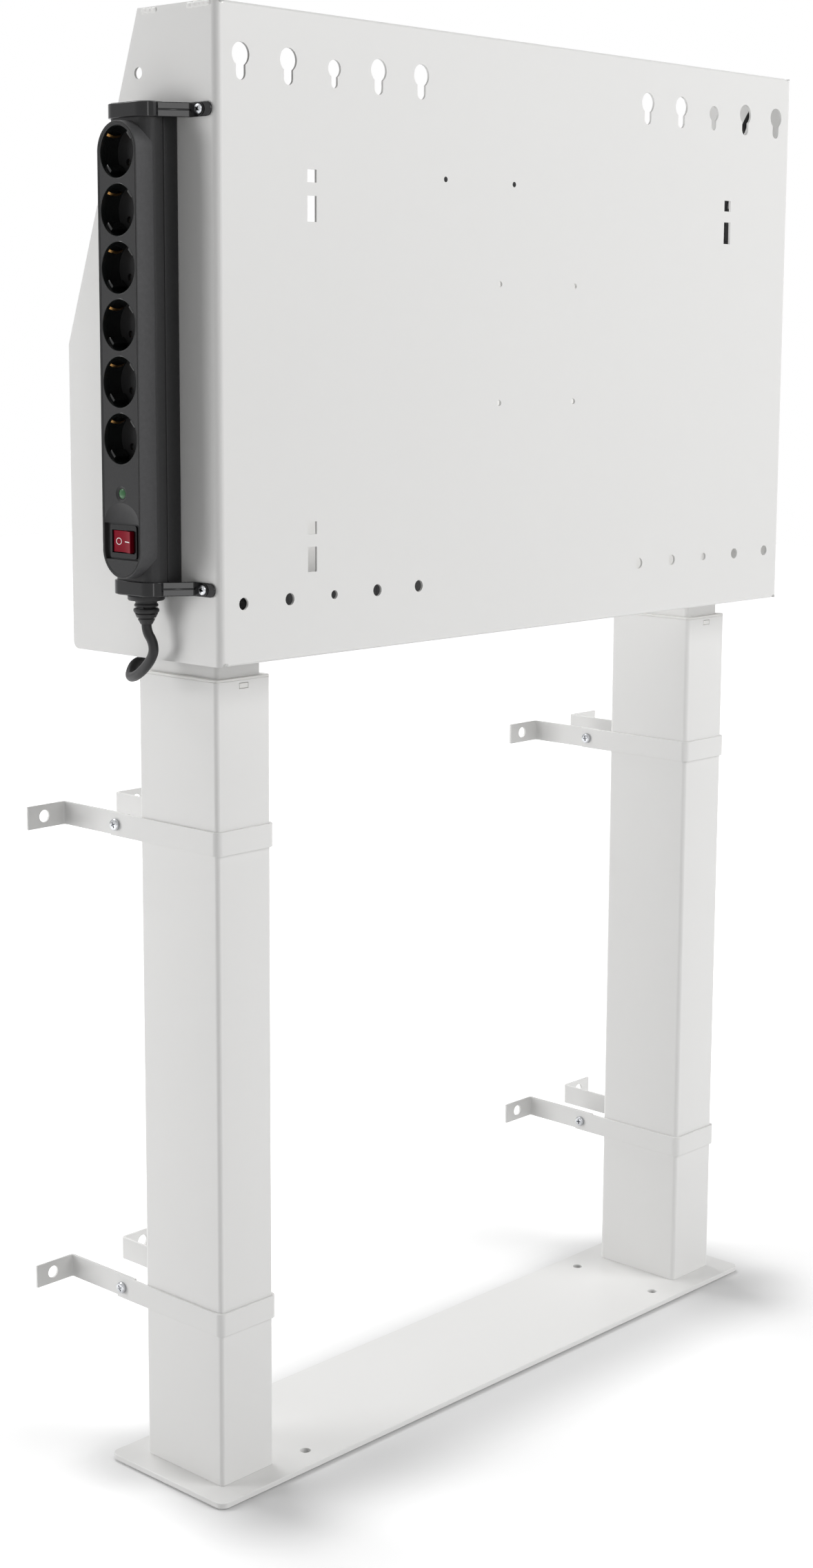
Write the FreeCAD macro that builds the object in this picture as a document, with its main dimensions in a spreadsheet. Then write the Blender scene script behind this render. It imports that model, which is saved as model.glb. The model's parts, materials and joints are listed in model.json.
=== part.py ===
import FreeCAD, Part
import math
import os
import Sketcher

# Motorized tv stand. Millimetres, +Z up. The origin is the middle of the base plate's underside.
# +X is the right hand side seen from the front, +Y points to the wall, the screen hangs on the -Y side.

doc = FreeCAD.newDocument("motorized_tv_stand")
sheet = doc.addObject("Spreadsheet::Sheet", "sizes")

SIZES = {
    # base plate
    "base_overhang": 52, "base_depth": 143, "base_thickness": 5, "base_corner": 8,
    "floor_hole_inset": 66.5, "floor_hole_gauge": 97, "floor_hole_dia": 9,
    # telescopic columns
    "column_span": 626, "outer_width": 60, "outer_depth": 95, "outer_wall": 2.5, "outer_corner": 4,
    "column_spare": 61, "window_width": 10, "window_height": 4.6, "window_drop": 4.6,
    "glide_wall": 3, "inner_wall": 2.5, "inner_corner": 4, "inner_start": 25, "column_rise": 3,
    "slide_gap": 0.3, "collar_length": 50, "collar_rim": 2, "shoe_length": 50,
    "foot_height": 10, "foot_screw_side_inset": 9.5, "foot_screw_end_inset": 12, "foot_screw_dia": 6,
    "foot_head_dia": 12, "foot_head_height": 3, "foot_hole_gap": 0.3,
    # drive
    "travel": 500, "spindle_dia": 14, "spindle_gap": 0.05, "spindle_end_gap": 20,
    "stand_tube_dia": 30, "stand_tube_wall": 2.5, "nut_dia": 34, "nut_height": 26, "nut_spigot": 12,
    "nut_spare": 50, "head_plate_height": 8, "bearing_dia": 30, "gear_height": 47, "gear_bore_depth": 20,
    "gear_overhang": 4, "motor_dia": 46, "motor_height": 52,
    # wall brackets
    "strap_thickness": 2.5, "strap_height": 20, "strap_overhang": 34.5, "strap_rise": 143, "strap_drop": 131,
    "bracket_screw_inset": 7, "bracket_screw_dia": 5, "bracket_screw_gap": 0.25,
    "bracket_head_dia": 9, "bracket_head_height": 3, "bracket_nut_width": 8, "bracket_nut_height": 4,
    "arm_thickness": 2.5, "arm_lead": 13, "arm_bend": 4, "wall_gap": 100.5, "tab_length": 39,
    "tab_hole_offset": 21.5, "tab_hole_dia": 10.5,
    # mounting box
    "plate_front_y": -87.5, "box_overhang": 62, "box_gap": 17, "box_height": 500, "sheet_metal": 2,
    "bend_radius": 6, "flange_bend": 3, "top_flange": 84, "bottom_flange": 30, "side_flange": 10,
    "side_corner": 6, "side_depth_low": 177, "side_depth_top": 88, "side_kink": 246, "relief_dia": 6,
    "side_hole_dia": 9, "side_hole_back": 88, "side_hole_drop": 48,
    "hole_pitch": 50, "hole_margin": 25, "low_row": 48, "row_distance": 400,
    "round_hole_dia": 9.8, "small_round_dia": 7.2,
    "keyhole_dia": 18, "keyhole_rise": 14, "keyhole_slot": 9.8,
    "small_keyhole_dia": 14, "small_keyhole_rise": 11.3, "small_keyhole_slot": 7,
    "vesa_pitch": 100, "vesa_hole_dia": 5,
    "slot_x": 275, "slot_width": 10, "slot_short": 10, "slot_long": 20, "slot_step": 10,
    "upper_slot_top": 381.5, "lower_slot_top": 108,
    # frame inside the box
    "panel_overhang": 25, "panel_rise": 15, "panel_height": 312, "panel_flange": 12,
    "spacer_web": 36, "spacer_foot": 12, "spacer_rise": 70, "spacer_drop": 12,
    "column_screw_dia": 6, "column_screw_inset": 40, "column_head_dia": 10, "column_head_height": 3.5,
    "column_head_room": 1, "column_nut_width": 10, "column_nut_height": 5,
    # electrics inside the box
    "control_x": -76.7, "control_spacing": 86.6, "control_rise": 54.5, "control_width": 130,
    "control_height": 72, "control_depth": 34, "control_corner": 4, "control_screw_dia": 2.5,
    "control_head_dia": 4.6, "control_head_height": 1.2, "control_screw_length": 10,
    "supply_inset": 21, "supply_rise": 28, "supply_width": 190, "supply_height": 34, "supply_depth": 34,
    "supply_corner": 3, "supply_gland_dia": 14, "supply_gland_length": 8,
    "receiver_drop": 10, "receiver_setback": 14.5, "receiver_width": 16, "receiver_height": 18,
    "receiver_corner": 3, "receiver_base": 2, "receiver_eye_drop": 3, "receiver_eye_dia": 11,
    "receiver_eye_height": 2.5, "lead_dia": 5, "lead_hole_gap": 0.5,
    # power strip
    "strip_setback": 66.5, "strip_rise": 53.5, "strip_width": 46, "strip_base_height": 15,
    "strip_round": 10, "ridge_height": 19, "ridge_spread": 1.4,
    "strip_low_height": 32, "strip_height": 41, "strip_wall": 2.2, "strip_corner": 3,
    "strip_face_width": 43, "strip_face_inset": 15, "strip_face_flat": 0.5,
    "socket_inset": 22, "socket_rise": 42, "socket_pitch": 43, "socket_dia": 39, "socket_depth": 17.5,
    "socket_wall": 1.3, "socket_floor": 2, "pin_circle": 19, "pin_hole_dia": 5.4,
    "clip_prong_width": 4, "clip_prong_length": 14, "clip_prong_sheet": 1.2, "clip_gap": 0.15,
    "bar_width": 7, "bar_sheet": 1, "bar_end": 8, "sleeve_dia": 6.4, "sleeve_wall": 0.5,
    "switch_rise": 42.5, "switch_width": 31, "switch_height": 25.6, "switch_rim": 1.5, "switch_ledge": 0.8,
    "switch_depth": 15, "recess_depth": 3, "recess_side": 1.25, "recess_end": 1.2, "scoop_length": 16,
    "rocker_width": 24.6, "rocker_height": 16.6, "rocker_gap": 0.6, "rocker_swing": 20,
    "rocker_pivot": 5, "rocker_tip": 4.5, "rocker_dip": 2.2, "rocker_back": 5, "rocker_back_width": 18,
    "rocker_pin_dia": 3, "rocker_pin_length": 2, "light_gap": 7, "light_dia": 6, "light_dome": 0.8,
    "light_rim": 1.5,
    # strain relief, cord and clips
    "cord_dia": 8, "gland_setback": 17, "gland_flange_dia": 29, "gland_flange": 4.3, "gland_length": 23.5,
    "gland_spigot_dia": 18, "gland_spigot": 4.5,
    "saddle_width": 11, "saddle_sheet": 2, "saddle_inset": 6, "saddle_slope": 14, "saddle_reach": 39,
    "saddle_screw_reach": 27, "saddle_screw_dia": 4, "saddle_head_dia": 8, "saddle_head_height": 2.6,
    "saddle_lip": 13,
}

for row, (alias, number) in enumerate(SIZES.items(), start=1):
    sheet.set("A%d" % row, alias.replace("_", " "))
    sheet.set("B%d" % row, str(number))
    sheet.setAlias("B%d" % row, alias)
doc.recompute()


class Size:
    """A length together with the expression that ties it to the sheet."""

    def __init__(self, text, value):
        self.text = text
        self.value = value

    def __add__(self, other):
        other = as_size(other)
        return Size("(%s + %s)" % (self.text, other.text), self.value + other.value)

    def __sub__(self, other):
        other = as_size(other)
        return Size("(%s - %s)" % (self.text, other.text), self.value - other.value)

    def __mul__(self, other):
        other = as_size(other)
        return Size("(%s * %s)" % (self.text, other.text), self.value * other.value)

    def __truediv__(self, other):
        other = as_size(other)
        return Size("(%s / %s)" % (self.text, other.text), self.value / other.value)

    def __neg__(self):
        return Size("(0 - %s)" % self.text, -self.value)

    def __rsub__(self, other):
        return as_size(other) - self

    __radd__ = __add__
    __rmul__ = __mul__


def as_size(number):
    return number if isinstance(number, Size) else Size("%.6f" % number, float(number))


class Sizes:
    """Every cell of the sheet by its alias."""

    def __getattr__(self, alias):
        return Size("sizes.%s" % alias, float(getattr(sheet, alias)))


s = Sizes()

pieces = []
pockets = []


def bind(thing, path, size):
    thing.setExpression(path, as_size(size).text)


def piece(thing, label):
    """Keep a finished object as a node of the part."""
    thing.Label = label
    pieces.append(thing)
    return thing


def sketch_on(body, plane, place):
    """A sketch on one of the body's own planes, moved along that plane's axis."""
    support = [f for f in body.Origin.OriginFeatures if f.Role == plane + "_Plane"][0]
    sketch = body.newObject("Sketcher::SketchObject", "outline")
    sketch.AttachmentSupport = [(support, "")]
    sketch.MapMode = "FlatFace"
    bind(sketch, "AttachmentOffset.Base.z", -place if plane == "XZ" else place)
    return sketch


def hold(sketch, kind, geometry, point, size):
    """Tie one coordinate of a sketch point to a size."""
    size = as_size(size)
    if abs(size.value) < 1e-9:
        axis = -2 if kind == "DistanceX" else -1
        sketch.addConstraint(Sketcher.Constraint("PointOnObject", geometry, point, axis))
        return
    index = sketch.addConstraint(Sketcher.Constraint(kind, -1, 1, geometry, point, size.value))
    sketch.setExpression("Constraints[%d]" % index, size.text)


def outline(*corners):
    """A closed outline. A corner is (across, up) or (across, up, radius)."""

    def draw(sketch):
        spots = [(as_size(c[0]), as_size(c[1]), as_size(c[2] if len(c) > 2 else 0)) for c in corners]
        flat = [FreeCAD.Vector(a.value, b.value, 0) for a, b, r in spots]
        count = len(flat)
        ways = [(flat[(i + 1) % count] - flat[i]).normalize() for i in range(count)]
        lines = []
        for i in range(count):
            after = (i + 1) % count
            start = flat[i] + ways[i] * spots[i][2].value
            end = flat[after] - ways[i] * spots[after][2].value
            lines.append(sketch.addGeometry(Part.LineSegment(start, end)))
        level = [abs(w.y) < 1e-9 for w in ways]
        upright = [abs(w.x) < 1e-9 for w in ways]
        for i in range(count):
            before = i - 1 if i else count - 1
            radius = spots[i][2]
            if radius.value > 0:
                left = ways[before].cross(ways[i]).z > 0
                centre = flat[i] - ways[before] * radius.value + ways[i] * radius.value
                first = flat[i] - ways[before] * radius.value
                last = flat[i] + ways[i] * radius.value
                begin, finish = (first, last) if left else (last, first)
                low = math.atan2(begin.y - centre.y, begin.x - centre.x)
                high = math.atan2(finish.y - centre.y, finish.x - centre.x)
                if high <= low:
                    high = high + 2 * math.pi
                circle = Part.Circle(centre, FreeCAD.Vector(0, 0, 1), radius.value)
                arc = sketch.addGeometry(Part.ArcOfCircle(circle, low, high))
                enter, leave = (1, 2) if left else (2, 1)
                sketch.addConstraint(Sketcher.Constraint("Tangent", lines[before], 2, arc, enter))
                sketch.addConstraint(Sketcher.Constraint("Tangent", lines[i], 1, arc, leave))
                index = sketch.addConstraint(Sketcher.Constraint("Radius", arc, radius.value))
                sketch.setExpression("Constraints[%d]" % index, radius.text)
            else:
                sketch.addConstraint(Sketcher.Constraint("Coincident", lines[before], 2, lines[i], 1))
                if not (upright[before] or upright[i]):
                    hold(sketch, "DistanceX", lines[i], 1, spots[i][0])
                if not (level[before] or level[i]):
                    hold(sketch, "DistanceY", lines[i], 1, spots[i][1])
        for i in range(count):
            if level[i]:
                sketch.addConstraint(Sketcher.Constraint("Horizontal", lines[i]))
                hold(sketch, "DistanceY", lines[i], 1, spots[i][1])
            if upright[i]:
                sketch.addConstraint(Sketcher.Constraint("Vertical", lines[i]))
                hold(sketch, "DistanceX", lines[i], 1, spots[i][0])

    return draw


def rectangle(x0, y0, x1, y1, radius=0):
    return outline((x0, y0, radius), (x1, y0, radius), (x1, y1, radius), (x0, y1, radius))


def middle_rectangle(x, y, width, height, radius=0):
    return rectangle(x - width / 2, y - height / 2, x + width / 2, y + height / 2, radius)


def disc(x, y, diameter):
    def draw(sketch):
        spot = FreeCAD.Vector(as_size(x).value, as_size(y).value, 0)
        radius = as_size(diameter) / 2
        ring = sketch.addGeometry(Part.Circle(spot, FreeCAD.Vector(0, 0, 1), radius.value))
        index = sketch.addConstraint(Sketcher.Constraint("Radius", ring, radius.value))
        sketch.setExpression("Constraints[%d]" % index, radius.text)
        hold(sketch, "DistanceX", ring, 3, x)
        hold(sketch, "DistanceY", ring, 3, y)

    return draw


def new_body(label):
    return piece(doc.addObject("PartDesign::Body", label), label)


def pad(body, plane, start, length, *shapes):
    """Add material from start, length long, along the plane's axis."""
    sketch = sketch_on(body, plane, as_size(start))
    for shape in shapes:
        shape(sketch)
    feature = body.newObject("PartDesign::Pad", "pad")
    feature.Profile = sketch
    feature.Reversed = plane == "XZ"
    bind(feature, "Length", length)
    body.Tip = feature
    return feature


def pocket(body, plane, start, length, *shapes):
    """Take material away from start, length long, along the plane's axis."""
    sketch = sketch_on(body, plane, as_size(start))
    for shape in shapes:
        shape(sketch)
    before = body.Tip
    feature = body.newObject("PartDesign::Pocket", "pocket")
    feature.Profile = sketch
    feature.Reversed = plane != "XZ"
    bind(feature, "Length", length)
    body.Tip = feature
    pockets.append((before, feature))
    return feature


def turned(label, x, y, *corners):
    """A piece turned about an upright axis. Corners are (radius, height)."""
    body = new_body(label)
    sketch = sketch_on(body, "XZ", as_size(0))
    outline(*corners)(sketch)
    feature = body.newObject("PartDesign::Revolution", "turn")
    feature.Profile = sketch
    feature.ReferenceAxis = (sketch, ["V_Axis"])
    feature.Angle = 360
    body.Tip = feature
    bind(body, "Placement.Base.x", x)
    bind(body, "Placement.Base.y", y)
    return body


TURNS = {
    "+Z": FreeCAD.Rotation(),
    "-Z": FreeCAD.Rotation(FreeCAD.Vector(1, 0, 0), 180),
    "+X": FreeCAD.Rotation(FreeCAD.Vector(0, 1, 0), 90),
    "-X": FreeCAD.Rotation(FreeCAD.Vector(0, 1, 0), -90),
    "+Y": FreeCAD.Rotation(FreeCAD.Vector(1, 0, 0), -90),
    "-Y": FreeCAD.Rotation(FreeCAD.Vector(1, 0, 0), 90),
}


def put(thing, place, way="+Z"):
    thing.Placement = FreeCAD.Placement(FreeCAD.Vector(), TURNS[way])
    for axis, size in zip("xyz", place):
        bind(thing, "Placement.Base.%s" % axis, size)
    return thing


def rod(place, way, diameter, length):
    thing = doc.addObject("Part::Cylinder", "rod")
    bind(thing, "Radius", as_size(diameter) / 2)
    bind(thing, "Height", length)
    return put(thing, place, way)


def cone(place, way, diameter, end_diameter, length):
    thing = doc.addObject("Part::Cone", "cone")
    bind(thing, "Radius1", as_size(diameter) / 2)
    bind(thing, "Radius2", as_size(end_diameter) / 2)
    bind(thing, "Height", length)
    return put(thing, place, way)


def block(low, lengths):
    thing = doc.addObject("Part::Box", "block")
    for name, size in zip(("Length", "Width", "Height"), lengths):
        bind(thing, name, size)
    return put(thing, low)


def joined(*things):
    fused = doc.addObject("Part::MultiFuse", "joined")
    fused.Shapes = list(things)
    return fused


def group(*things):
    bundle = doc.addObject("Part::Compound", "group")
    bundle.Links = list(things)
    return bundle


def within(*things):
    """What all the things have in common."""
    shared = doc.addObject("Part::MultiCommon", "shared")
    shared.Shapes = list(things)
    return shared


def cut(base, *tools):
    result = doc.addObject("Part::Cut", "cut")
    result.Base = base
    result.Tool = tools[0] if len(tools) == 1 else group(*tools)
    return result


def shifted(place, way, distance):
    """The place moved by a distance along one of the six ways."""
    axis = "XYZ".index(way[1])
    moved = [as_size(p) for p in place]
    moved[axis] = moved[axis] + distance if way[0] == "+" else moved[axis] - distance
    return moved


def opposite(way):
    return ("-" if way[0] == "+" else "+") + way[1]


def pan_screw(place, way, head_dia, head_height, shank_dia, shank_length):
    """A pan head screw. The place is under its head and its shank points along the way."""
    back = opposite(way)
    rim = rod(place, back, head_dia, head_height * 0.4)
    crown = cone(shifted(place, back, head_height * 0.4), back, head_dia, head_dia * 0.6, head_height * 0.6)
    shank = rod(place, way, shank_dia, shank_length)
    return joined(rim, crown, shank)


def hex_nut(place, way, width, height, bore):
    prism = doc.addObject("Part::Prism", "hexagon")
    prism.Polygon = 6
    bind(prism, "Circumradius", as_size(width) / math.sqrt(3))
    bind(prism, "Height", height)
    put(prism, place, way)
    return cut(prism, rod(place, way, bore, height))


# Places worked out from the driving sizes.
base_top = s.base_thickness
base_length = s.column_span + s.base_overhang * 2
floor_hole_span = s.column_span - s.floor_hole_inset * 2
outer_length = s.inner_start - base_top + s.shoe_length + s.travel + s.column_spare + s.collar_length
outer_top = base_top + outer_length
hollow_width = s.outer_width - s.outer_wall * 2
hollow_depth = s.outer_depth - s.outer_wall * 2
hollow_corner = s.outer_corner - s.outer_wall
inner_width = hollow_width - s.glide_wall * 2
inner_depth = hollow_depth - s.glide_wall * 2
foot_top = base_top + s.foot_height
foot_screw_x = hollow_width / 2 - s.foot_screw_side_inset
foot_screw_y = hollow_depth / 2 - s.foot_screw_end_inset
stand_tube_length = s.spindle_end_gap + s.travel + s.nut_spare
stand_tube_top = foot_top + stand_tube_length
nut_top = stand_tube_top + s.nut_height

tube_back_y = s.outer_depth / 2
strap_low = base_top + s.strap_rise
strap_high = outer_top - s.strap_drop
strap_end_y = tube_back_y + s.strap_overhang
bracket_screw_y = strap_end_y - s.bracket_screw_inset
arm_start_y = bracket_screw_y - s.arm_lead
wall_y = tube_back_y + s.wall_gap

box_bottom = outer_top + s.collar_rim + s.box_gap
box_top = box_bottom + s.box_height
box_width = s.column_span + s.box_overhang * 2
box_side = box_width / 2
plate_back_y = s.plate_front_y + s.sheet_metal
low_row_z = box_bottom + s.low_row
high_row_z = low_row_z + s.row_distance
pattern_z = low_row_z + s.row_distance / 2

tube_front_y = -inner_depth / 2
panel_front_y = tube_front_y - s.sheet_metal
panel_width = s.column_span + s.panel_overhang * 2
panel_low = box_bottom + s.panel_rise
panel_top = panel_low + s.panel_height
spacer_low = panel_low + s.spacer_rise
spacer_height = panel_top - s.spacer_drop - spacer_low
column_screw_low = spacer_low + s.column_screw_inset
column_screw_high = spacer_low + spacer_height - s.column_screw_inset
column_screw_x = s.spacer_web / 2 - s.sheet_metal - s.column_head_dia / 2 - s.column_head_room
inner_top = panel_top + s.column_rise
inner_length = inner_top - s.inner_start
head_top = inner_top + s.head_plate_height
gear_top = head_top + s.gear_height

control_z = panel_top + s.control_rise
supply_end_x = -panel_width / 2 + s.supply_inset
supply_x = supply_end_x + s.supply_width / 2
supply_y = panel_front_y - s.supply_depth / 2
supply_z = panel_low + s.supply_rise
receiver_y = s.plate_front_y + s.receiver_setback
receiver_z = box_top - s.receiver_drop
receiver_eye_z = receiver_z - s.receiver_eye_drop

strip_back_x = -box_side
strip_split_x = strip_back_x - s.strip_base_height
strip_low_x = strip_back_x - s.strip_low_height
strip_face_x = strip_back_x - s.strip_height
strip_y = s.plate_front_y + s.strip_setback
strip_bottom = box_bottom + s.strip_rise
strip_face_bottom = strip_bottom + s.strip_face_inset
switch_z = strip_bottom + s.switch_rise
recess_width = s.strip_face_width - s.recess_side * 2
recess_low = switch_z - s.switch_height / 2 - s.recess_end
recess_high = switch_z + s.switch_height / 2 + s.recess_end
scoop_top = recess_high + s.scoop_length
light_z = scoop_top + s.light_gap
SOCKETS = 6
socket_low = light_z + s.socket_rise
socket_top = socket_low + s.socket_pitch * (SOCKETS - 1)
strip_face_top = socket_top + s.socket_inset
strip_top = strip_face_top + s.strip_face_inset
strip_length = strip_top - strip_bottom
strip_middle_z = strip_bottom + strip_length / 2
face_middle_z = (strip_face_top + strip_face_bottom) / 2
face_length = strip_face_top - strip_face_bottom
pivot_x = strip_face_x + s.rocker_pivot
gland_x = strip_back_x - s.gland_setback
gland_bottom = strip_bottom - s.gland_length
saddle_low = strip_bottom + s.saddle_inset
saddle_high = strip_top - s.saddle_inset
strip_side_y = strip_y - s.strip_width / 2
saddle_screw_y = strip_side_y - s.saddle_screw_reach

SIDES = (("left", -1), ("right", 1))
LEVELS = (("lower", strap_low), ("upper", strap_high))


def column_x(sign):
    return s.column_span / 2 * sign


def foot_screw_places():
    for side, sign in SIDES:
        for across in (-1, 1):
            for along in (-1, 1):
                yield column_x(sign) + foot_screw_x * across, foot_screw_y * along


def base_plate():
    body = doc.addObject("PartDesign::Body", "plate")
    holes = []
    for across in (-1, 1):
        for along in (-1, 1):
            holes.append(disc(floor_hole_span / 2 * across, s.floor_hole_gauge / 2 * along, s.floor_hole_dia))
    for x, y in foot_screw_places():
        holes.append(disc(x, y, s.foot_screw_dia + s.foot_hole_gap * 2))
    sheet_outline = middle_rectangle(as_size(0), as_size(0), base_length, s.base_depth, s.base_corner)
    pad(body, "XY", 0, s.base_thickness, sheet_outline, *holes)
    sinks = [cone((x, y, 0), "+Z", s.foot_head_dia, s.foot_screw_dia, s.foot_head_height)
             for x, y in foot_screw_places()]
    piece(cut(body, *sinks), "base_plate")


def base_screws():
    screws = []
    for x, y in foot_screw_places():
        head = cone((x, y, 0), "+Z", s.foot_head_dia, s.foot_screw_dia, s.foot_head_height)
        shank = rod((x, y, s.foot_head_height), "+Z", s.foot_screw_dia, foot_top - s.foot_head_height)
        screws.append(joined(head, shank))
    piece(group(*screws), "base_screws")


def outer_column(side, sign):
    x = column_x(sign)
    body = new_body("column_outer_" + side)
    zero = as_size(0)
    pad(body, "XY", base_top, outer_length,
        middle_rectangle(x, zero, s.outer_width, s.outer_depth, s.outer_corner),
        middle_rectangle(x, zero, hollow_width, hollow_depth, hollow_corner))
    window_z = outer_top - s.window_drop
    pocket(body, "XZ", -s.outer_depth / 2, s.outer_wall,
           middle_rectangle(x, window_z, s.window_width, s.window_height))
    pocket(body, "XZ", hollow_depth / 2, s.outer_wall,
           middle_rectangle(x, window_z, s.window_width, s.window_height))


def foot_block(side, sign):
    x = column_x(sign)
    body = new_body("column_foot_" + side)
    holes = [disc(x + foot_screw_x * across, foot_screw_y * along, s.foot_screw_dia)
             for across in (-1, 1) for along in (-1, 1)]
    pad(body, "XY", base_top, s.foot_height,
        middle_rectangle(x, as_size(0), hollow_width, hollow_depth, hollow_corner), *holes)


def stand_tube(side, sign):
    body = new_body("stand_tube_" + side)
    pad(body, "XY", foot_top, stand_tube_length,
        disc(column_x(sign), 0, s.stand_tube_dia),
        disc(column_x(sign), 0, s.stand_tube_dia - s.stand_tube_wall * 2))


def spindle_nut(side, sign):
    bore = s.spindle_dia / 2 + s.spindle_gap
    spigot = s.stand_tube_dia / 2 - s.stand_tube_wall
    turned("spindle_nut_" + side, column_x(sign), 0,
           (bore, stand_tube_top - s.nut_spigot), (spigot, stand_tube_top - s.nut_spigot),
           (spigot, stand_tube_top), (s.nut_dia / 2, stand_tube_top), (s.nut_dia / 2, nut_top),
           (bore, nut_top))


def glide_collar(side, sign):
    """Plastic sleeve in the mouth of the outer tube, with a rim on the edge and two snap tabs."""
    x = column_x(sign)
    zero = as_size(0)
    bore_width = inner_width + s.slide_gap * 2
    bore_depth = inner_depth + s.slide_gap * 2
    bore_corner = s.inner_corner + s.slide_gap
    body = new_body("glide_collar_" + side)
    pad(body, "XY", outer_top - s.collar_length, s.collar_length,
        middle_rectangle(x, zero, hollow_width, hollow_depth, hollow_corner),
        middle_rectangle(x, zero, bore_width, bore_depth, bore_corner))
    pad(body, "XY", outer_top, s.collar_rim,
        middle_rectangle(x, zero, s.outer_width, s.outer_depth, s.outer_corner),
        middle_rectangle(x, zero, bore_width, bore_depth, bore_corner))
    tab = middle_rectangle(x, outer_top - s.window_drop, s.window_width - s.slide_gap * 2,
                           s.window_height - s.slide_gap * 2)
    pad(body, "XZ", -s.outer_depth / 2, s.outer_wall, tab)
    pad(body, "XZ", hollow_depth / 2, s.outer_wall, tab)


def inner_column(side, sign):
    x = column_x(sign)
    zero = as_size(0)
    body = new_body("column_inner_" + side)
    pad(body, "XY", s.inner_start, inner_length,
        middle_rectangle(x, zero, inner_width, inner_depth, s.inner_corner),
        middle_rectangle(x, zero, inner_width - s.inner_wall * 2, inner_depth - s.inner_wall * 2,
                         s.inner_corner - s.inner_wall))
    pocket(body, "XZ", tube_front_y, s.inner_wall, *column_screw_discs(x))


def column_screw_discs(x):
    return [disc(x + column_screw_x * across, z, s.column_screw_dia)
            for across in (-1, 1) for z in (column_screw_low, column_screw_high)]


def column_screw_places():
    for side, sign in SIDES:
        for across in (-1, 1):
            for z in (column_screw_low, column_screw_high):
                yield column_x(sign) + column_screw_x * across, z


def glide_shoe(side, sign):
    """Plastic sleeve round the low end of the inner tube."""
    x = column_x(sign)
    zero = as_size(0)
    body = new_body("glide_shoe_" + side)
    pad(body, "XY", s.inner_start, s.shoe_length,
        middle_rectangle(x, zero, hollow_width - s.slide_gap * 2, hollow_depth - s.slide_gap * 2,
                         hollow_corner),
        middle_rectangle(x, zero, inner_width, inner_depth, s.inner_corner))


def head_plate(side, sign):
    """Steel plate welded on the inner tube, with the bearing's seat in it."""
    x = column_x(sign)
    body = new_body("head_plate_" + side)
    pad(body, "XY", inner_top, s.head_plate_height,
        middle_rectangle(x, as_size(0), s.outer_width, inner_depth, s.inner_corner),
        disc(x, 0, s.bearing_dia))


def spindle_bearing(side, sign):
    body = new_body("spindle_bearing_" + side)
    pad(body, "XY", inner_top, s.head_plate_height,
        disc(column_x(sign), 0, s.bearing_dia),
        disc(column_x(sign), 0, s.spindle_dia + s.spindle_gap * 2))


def spindle(side, sign):
    radius = s.spindle_dia / 2
    low = foot_top + s.spindle_end_gap
    high = head_top + s.gear_bore_depth - 1
    shoulder = inner_top - s.slide_gap
    turned("spindle_" + side, column_x(sign), 0,
           (0, low), (radius - 2, low), (radius, low + 2), (radius, shoulder - 4), (radius + 3, shoulder - 4),
           (radius + 3, shoulder), (radius, shoulder), (radius, high), (0, high))


def gear_motor(side, sign):
    x = column_x(sign)
    body = new_body("gear_motor_" + side)
    pad(body, "XY", head_top, s.gear_height,
        middle_rectangle(x, as_size(0), s.outer_width, inner_depth + s.gear_overhang * 2, s.inner_corner))
    pad(body, "XY", gear_top, s.motor_height, disc(x, 0, s.motor_dia))
    pocket(body, "XY", head_top, s.gear_bore_depth, disc(x, 0, s.spindle_dia + s.spindle_gap * 2))


def strap(side, sign, level, z):
    """Steel strap round the front of the outer tube, its two legs reaching past the tube's back."""
    x = column_x(sign)
    half = s.outer_width / 2
    front = -s.outer_depth / 2
    sheet_t = s.strap_thickness
    wide = s.outer_corner + sheet_t
    body = new_body("wall_strap_%s_%s" % (side, level))
    pad(body, "XY", z - s.strap_height / 2, s.strap_height,
        outline((x - half - sheet_t, strap_end_y), (x - half - sheet_t, front - sheet_t, wide),
                (x + half + sheet_t, front - sheet_t, wide), (x + half + sheet_t, strap_end_y),
                (x + half, strap_end_y), (x + half, front, s.outer_corner),
                (x - half, front, s.outer_corner), (x - half, strap_end_y)))
    hole = disc(bracket_screw_y, z, s.bracket_screw_dia + s.bracket_screw_gap * 2)
    pocket(body, "YZ", x - half - sheet_t, s.outer_width + sheet_t * 2, hole)


def wall_arm(side, sign, level, z, hand):
    """Angle arm inside one strap leg: back to the wall, then outwards to a tab with a hole."""
    x = column_x(sign)
    outside = x + s.outer_width / 2 * hand
    inside = outside - s.arm_thickness * hand
    tab_end = outside + s.tab_length * hand
    back = wall_y
    sheet_t = s.arm_thickness
    body = doc.addObject("PartDesign::Body", "arm")
    pad(body, "XY", z - s.strap_height / 2, s.strap_height,
        outline((inside, arm_start_y), (outside, arm_start_y),
                (outside, back - sheet_t, s.arm_bend - sheet_t), (tab_end, back - sheet_t), (tab_end, back),
                (inside, back, s.arm_bend)))
    pocket(body, "YZ", outside if hand < 0 else inside, sheet_t,
           disc(bracket_screw_y, z, s.bracket_screw_dia + s.bracket_screw_gap * 2))
    pocket(body, "XZ", back - sheet_t, sheet_t, disc(outside + s.tab_hole_offset * hand, z, s.tab_hole_dia))
    return body


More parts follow.
